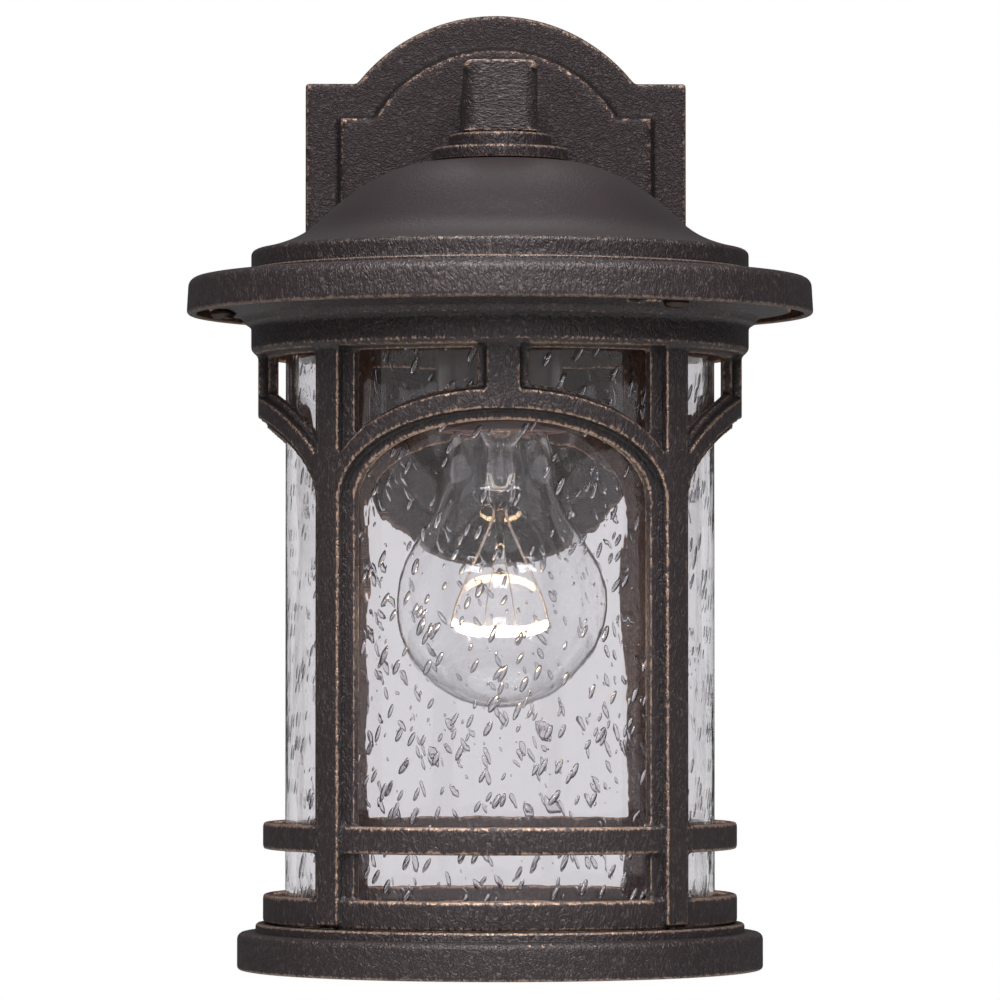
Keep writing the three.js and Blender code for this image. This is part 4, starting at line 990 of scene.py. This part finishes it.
# ------------------------------------------------------------ screws and nuts
# Pan-head screws with a cross recess hold the base and the cage, cap nuts hold the plate on its studs, and
# pipes with hexagon nuts clamp plate, arm, neck and roof together.
def screw_profile(shank_r, head_r, head_height, reach, pitch):
    """Half the outline of a pan-head screw: its head below the seat at 0 and its thread above."""
    line = [(0, -head_height)] + rounded([
        (0, -head_height), (head_r * 0.72, -head_height, 0.3), (head_r, -head_height * 0.45, 0.5),
        (head_r, 0, 0.15), (shank_r, 0),
    ], 4, 0.2, closed=False)[1:]
    turns = int((reach - 0.8) / pitch)
    for k in range(turns):
        line += [(shank_r, 0.3 + k * pitch), (shank_r * 0.82, 0.3 + (k + 0.5) * pitch)]
    return line + [(shank_r * 0.7, reach), (0, reach)]


def cross_recess(obj, centre, head_r, seat, head_height, along, sign=1):
    """Cuts the cross of a driver into a screw's head."""
    for turn in (0, 1):
        deselected()
        long, short = 1.15 * head_r, 0.26 * head_r
        size = (long, short) if turn else (short, long)
        deep = 0.62 * head_height
        if along == "up":
            place = centre + Vector((0, 0, seat - sign * (head_height - deep / 2 + 0.01)))
            scale = Vector((size[0], size[1], deep + 0.1))
        else:
            place = centre + Vector((0, -(seat - sign * (head_height - deep / 2 + 0.01)), 0))
            scale = Vector((size[0], deep + 0.1, size[1]))
        bpy.ops.mesh.primitive_cube_add(size=1, location=place * mm, scale=scale * mm)
        blade = bpy.context.active_object
        bpy.ops.object.transform_apply()
        combined(obj, blade, "DIFFERENCE")
    alone(obj)
    bpy.ops.object.shade_smooth_by_angle(angle=math.radians(40))
    return obj


def driven_screw(name, node, centre, seat, shank_r, head_r, head_height, reach, material, along, sign, place):
    profile = [(r, seat + sign * h) for r, h in screw_profile(shank_r, head_r, head_height, reach, 0.8)]
    screw = turned(name, profile, 40, centre, along)
    cross_recess(screw, centre, head_r, seat, head_height, along, sign)
    painted(screw, material)
    return fitted(screw, place[0], place[1], node)


BASE_SCREW_OUT = 65.65  # from the lantern's axis, under the middle of each post
screw_bronze = metal_finish("bronze_screws", (0.040, 0.032, 0.030), (0.085, 0.062, 0.052), 0.38)
green = metal_finish("green_screws", (0.020, 0.16, 0.05), (0.05, 0.28, 0.10), 0.3)
for number, degrees in enumerate(CAGE_SCREW_ANGLES, 1):
    spot = round_axis(degrees, CAGE_SCREW_OUT)
    driven_screw(
        f"cage_screw_head_{number}", f"cage_screw_{number}", spot, -11.3, 2.0, 3.6, 2.2, 6.7,
        screw_bronze, "up", 1, (f"cage_screw_{number}", "bronze_casting"),
    )
for number in range(1, 5):
    spot = round_axis(90 * (number - 0.5), BASE_SCREW_OUT)
    driven_screw(
        f"base_fixing_{number}", f"base_screw_{number}", spot, -189.7, 1.5, 2.8, 1.8, 13.0,
        zinc, "up", 1, ("cage", "zinc_plated_steel"),
    )
driven_screw(
    "strap_earth_screw", "strap_ground_screw", Vector((-18, 0, 0)), 2.3, 1.9, 4, 2, 2,
    green, "out", -1, ("wall_side", "green_screw"),
)
driven_screw(
    "plate_earth_screw", "plate_ground_screw", Vector((0, 0, EARTH_SCREW_Z)), 9.9, 1.9, 4, 2, 4,
    green, "out", 1, ("wall_side", "green_screw"),
)
for side, name in ((-1, "left"), (1, "right")):
    arcs = [math.radians(degrees) for degrees in range(0, 91, 6)]
    dome = [(5.4 * math.cos(arc), 26.3 + 5.4 * math.sin(arc)) for arc in arcs]
    dome[-1] = (0, 31.7)
    nut_line = [(0, 29.0), (2.45, 29.0)] + rounded([
        (2.45, 20.5, 0.3), (6.8, 20.5, 0.4), (6.8, 21.8, 0.5), (5.4, 21.8, 0.3), (5.4, 26.3),
    ], 4, 0.3, closed=False)[0:-1] + dome
    nut = turned("cap_nut_dome_" + name, nut_line, 64, Vector((side * STUD_OUT, 0, 0)), "out")
    mark_wear_and_shade(nut, 0.8)
    painted(nut, ring_bronze)
    fitted(nut, "wall_side", "bronze_casting", "cap_nut_" + name)


def threaded_pipe(name, node, start, end, centre, along):
    turns = int((end - start - 0.6) / 0.9)
    line = [(4.6, start)]
    for k in range(turns):
        line += [(4.9, start + 0.3 + 0.9 * k), (4.55, start + 0.3 + 0.9 * (k + 0.5))]
    line += [(4.6, end), (3.5, end), (3.5, start)]
    pipe = turned(name, line, 48, centre, along)
    painted(pipe, zinc)
    return fitted(pipe, "wall_side", "zinc_plated_steel", node)


def flat_washer(name, node, start, centre, along):
    line = rounded([
        (PIPE_HOLE_R, start, 0.1), (9.5, start, 0.3), (9.5, start + 1.2, 0.3),
        (PIPE_HOLE_R, start + 1.2, 0.1),
    ], 3, 0.3)
    disc = turned(name, line, 48, centre, along)
    painted(disc, zinc)
    return fitted(disc, "wall_side", "zinc_plated_steel", node)


def hexagon_nut(name, node, start, centre, along):
    """A six-sided nut with its corners turned back and a bore for the pipe."""
    deselected()
    bpy.ops.mesh.primitive_cylinder_add(vertices=6, radius=8 * mm, depth=3.5 * mm)
    nut = bpy.context.active_object
    nut.name = name
    body = turned("turned_back", rounded([
        (0, -1.75), (7.0, -1.75), (8.1, -1.1), (8.1, 1.1), (7.0, 1.75), (0, 1.75),
    ], 3, 0.2, closed=False), 48, Vector((0, 0, 0)))
    combined(nut, body, "INTERSECT")
    deselected()
    bpy.ops.mesh.primitive_cylinder_add(vertices=48, radius=PIPE_HOLE_R * mm, depth=6 * mm)
    combined(nut, bpy.context.active_object, "DIFFERENCE")
    middle = start + 1.75
    alone(nut)
    bpy.ops.object.shade_smooth_by_angle(angle=math.radians(30))
    if along == "up":
        nut.data.transform(Matrix.Translation((centre + Vector((0, 0, middle))) * mm))
    else:
        nut.data.transform(Matrix.Rotation(math.pi / 2, 4, "X"))
        nut.data.transform(Matrix.Translation((centre + Vector((0, -middle, 0))) * mm))
    painted(nut, zinc)
    return fitted(nut, "wall_side", "zinc_plated_steel", node)


ARM_LINE = Vector((0, 0, ARM_MIDDLE))
threaded_pipe("arm_pipe", "arm_nipple", 9.4, 37.5, ARM_LINE, "out")
flat_washer("arm_flat_washer", "arm_washer", 13.7, ARM_LINE, "out")
hexagon_nut("arm_hexagon_nut", "arm_locknut", 9.9, ARM_LINE, "out")
threaded_pipe("roof_pipe", "roof_nipple", -2.2, 44.05, AXIS, "up")
flat_washer("roof_flat_washer", "roof_washer", 27.2, AXIS, "up")
hexagon_nut("roof_hexagon_nut", "roof_locknut", 23.4, AXIS, "up")


# ------------------------------------------------------------ wiring
# Two stranded leads with a soft sleeve, black and white, end in moulded wire connectors behind the plate, and
# a bare copper wire joins the two green earth screws.
def sleeve_finish(name, low, high, roughness):
    paint = Paint(name)
    cloud = paint.noise(paint.place(), 300, 3)
    paint.set(
        Base_Color=paint.between(low, high, cloud),
        Roughness=roughness + cloud * 0.1,
        Normal=paint.bump(cloud, 0.05 * mm, 0.3),
    )
    return paint.material


copper = metal_finish("copper", (0.62, 0.25, 0.12), (0.85, 0.40, 0.24), 0.25)
painted(nodes["lead_black"], sleeve_finish("black_sleeve", (0.008, 0.008, 0.009), (0.02, 0.02, 0.021), 0.4))
painted(nodes["lead_white"], sleeve_finish("white_sleeve", (0.62, 0.60, 0.56), (0.78, 0.77, 0.73), 0.4))
painted(nodes["lead_earth"], copper)
for name in ("lead_black", "lead_white", "lead_earth"):
    alone(nodes[name])
    bpy.ops.object.shade_smooth()
for name, low, high, slot_name in (
    ("black", (0.62, 0.42, 0.03), (0.75, 0.52, 0.06), "yellow_plastic"),
    ("white", (0.45, 0.10, 0.04), (0.60, 0.16, 0.07), "red_plastic"),
):
    node_low, node_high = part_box("wire_nut_" + name)
    middle = (node_low + node_high) / 2 / mm
    foot, top = node_low.z / mm, node_high.z / mm
    centre = Vector((middle.x, middle.y, 0))
    line = rounded([
        (0, foot), (2.7, foot, 0.8), (3.4, foot + 6, 0.6), (4.5, top - 4.2, 0.5), (4.5, top, 0.6), (0, top),
    ], 4, 0.4, closed=False)
    connector = turned("wire_connector_" + name, line, 24, centre)
    for vertex in connector.data.vertices:
        spoke = Vector((vertex.co.x - centre.x * mm, vertex.co.y - centre.y * mm))
        if spoke.length > 2.6 * mm and vertex.co.z < (top - 4.4) * mm:
            step = round(math.atan2(spoke.y, spoke.x) / (math.pi / 12)) % 2
            vertex.co.x = centre.x * mm + spoke.x * (0.9 if step else 1.0)
            vertex.co.y = centre.y * mm + spoke.y * (0.9 if step else 1.0)
    painted(connector, sleeve_finish(slot_name, low, high, 0.35))
    fitted(connector, "wall_side", slot_name, "wire_nut_" + name)

# ------------------------------------------------------------ floor, light and camera
# A pale matt floor well below the lantern, soft lights at both sides, above and in front, a faint one behind
# that catches the dome, and a warm glow in the bulb.
deselected()
bpy.ops.mesh.primitive_circle_add(vertices=96, radius=2.2, fill_type="NGON", location=(0, 0, -0.62))
floor = bpy.context.active_object
floor.name = "floor"
floor_paint = Paint("pale_floor")
floor_paint.set(
    Base_Color=floor_paint.between(
        (0.80, 0.80, 0.80), (0.84, 0.84, 0.84), floor_paint.noise(floor_paint.place(), 3, 2)
    ),
    Roughness=0.85,
)
painted(floor, floor_paint.material)
floor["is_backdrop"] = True


def soft_light(name, power, size, place, target, colour=(1, 1, 1)):
    deselected()
    bpy.ops.object.light_add(type="AREA", location=place)
    light = bpy.context.active_object
    light.name = name
    light.data.shape = "RECTANGLE"
    light.data.size, light.data.size_y = size
    light.data.energy = power
    light.data.color = colour
    light.rotation_euler = (Vector(target) - Vector(place)).to_track_quat("-Z", "Y").to_euler()
    return light


soft_light("left_light", 11, (0.5, 0.5), (-0.66, -1.05, 0.92), (0, -0.11, -0.05))
soft_light("right_light", 11, (0.5, 0.5), (0.66, -1.05, 0.92), (0, -0.11, -0.05))
soft_light("top_light", 17, (0.32, 0.45), (0.0, -0.85, 1.05), (0, -0.11, 0.0))
soft_light("back_light", 0.8, (0.5, 0.3), (0.0, 0.5, 0.9), (0, -0.11, 0.0))
soft_light("front_light", 9, (0.5, 0.4), (0.0, -1.9, 0.62), (0, -0.11, -0.08))
bpy.ops.object.light_add(type="POINT", location=AXIS * mm + Vector((0, 0, (FILAMENT_Z + 1) * mm)))
glow = bpy.context.active_object
glow.name = "bulb_glow"
glow.data.energy = 0.24
glow.data.color = (1.0, 0.66, 0.36)
glow.data.shadow_soft_size = 8 * mm
glow.visible_camera = False
glow.visible_glossy = False
glow.visible_transmission = False

world = bpy.data.worlds.new("studio")
bpy.context.scene.world = world
world.use_nodes = True
world_tree = world.node_tree
background = world_tree.nodes["Background"]
path = world_tree.nodes.new("ShaderNodeLightPath")


def world_sum(operation, first, second):
    added = world_tree.nodes.new("ShaderNodeMath")
    added.operation = operation
    added.use_clamp = True
    for socket, value in zip(added.inputs, (first, second)):
        if isinstance(value, str):
            world_tree.links.new(path.outputs[value], socket)
        elif isinstance(value, float):
            socket.default_value = value
        else:
            world_tree.links.new(value, socket)
    return added.outputs[0]


inside_glass = world_sum("MULTIPLY", "Transmission Depth", "Is Glossy Ray")
seen = world_sum("ADD", world_sum("ADD", "Is Camera Ray", "Is Transmission Ray"), inside_glass)
strength = world_sum("ADD", world_sum("MULTIPLY", seen, 0.9), 0.1)
world_tree.links.new(strength, background.inputs["Strength"])
background.inputs["Color"].default_value = (1, 1, 1, 1)

scene = bpy.context.scene
scene.view_settings.view_transform = "Standard"
scene.cycles.max_bounces = 24
scene.cycles.transmission_bounces = 24
scene.cycles.glossy_bounces = 6
scene.cycles.diffuse_bounces = 3

deselected()
bpy.ops.object.camera_add(location=Vector((-22, -1814, -113.5)) * mm)
camera = bpy.context.active_object
camera.data.sensor_width = 36
camera.data.lens = 215.8
camera.data.clip_start = 0.05
camera.data.clip_end = 50
camera.rotation_euler = (math.radians(90 + 1.605), 0, -math.atan2(22, 1700))
scene.camera = camera

low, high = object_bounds()
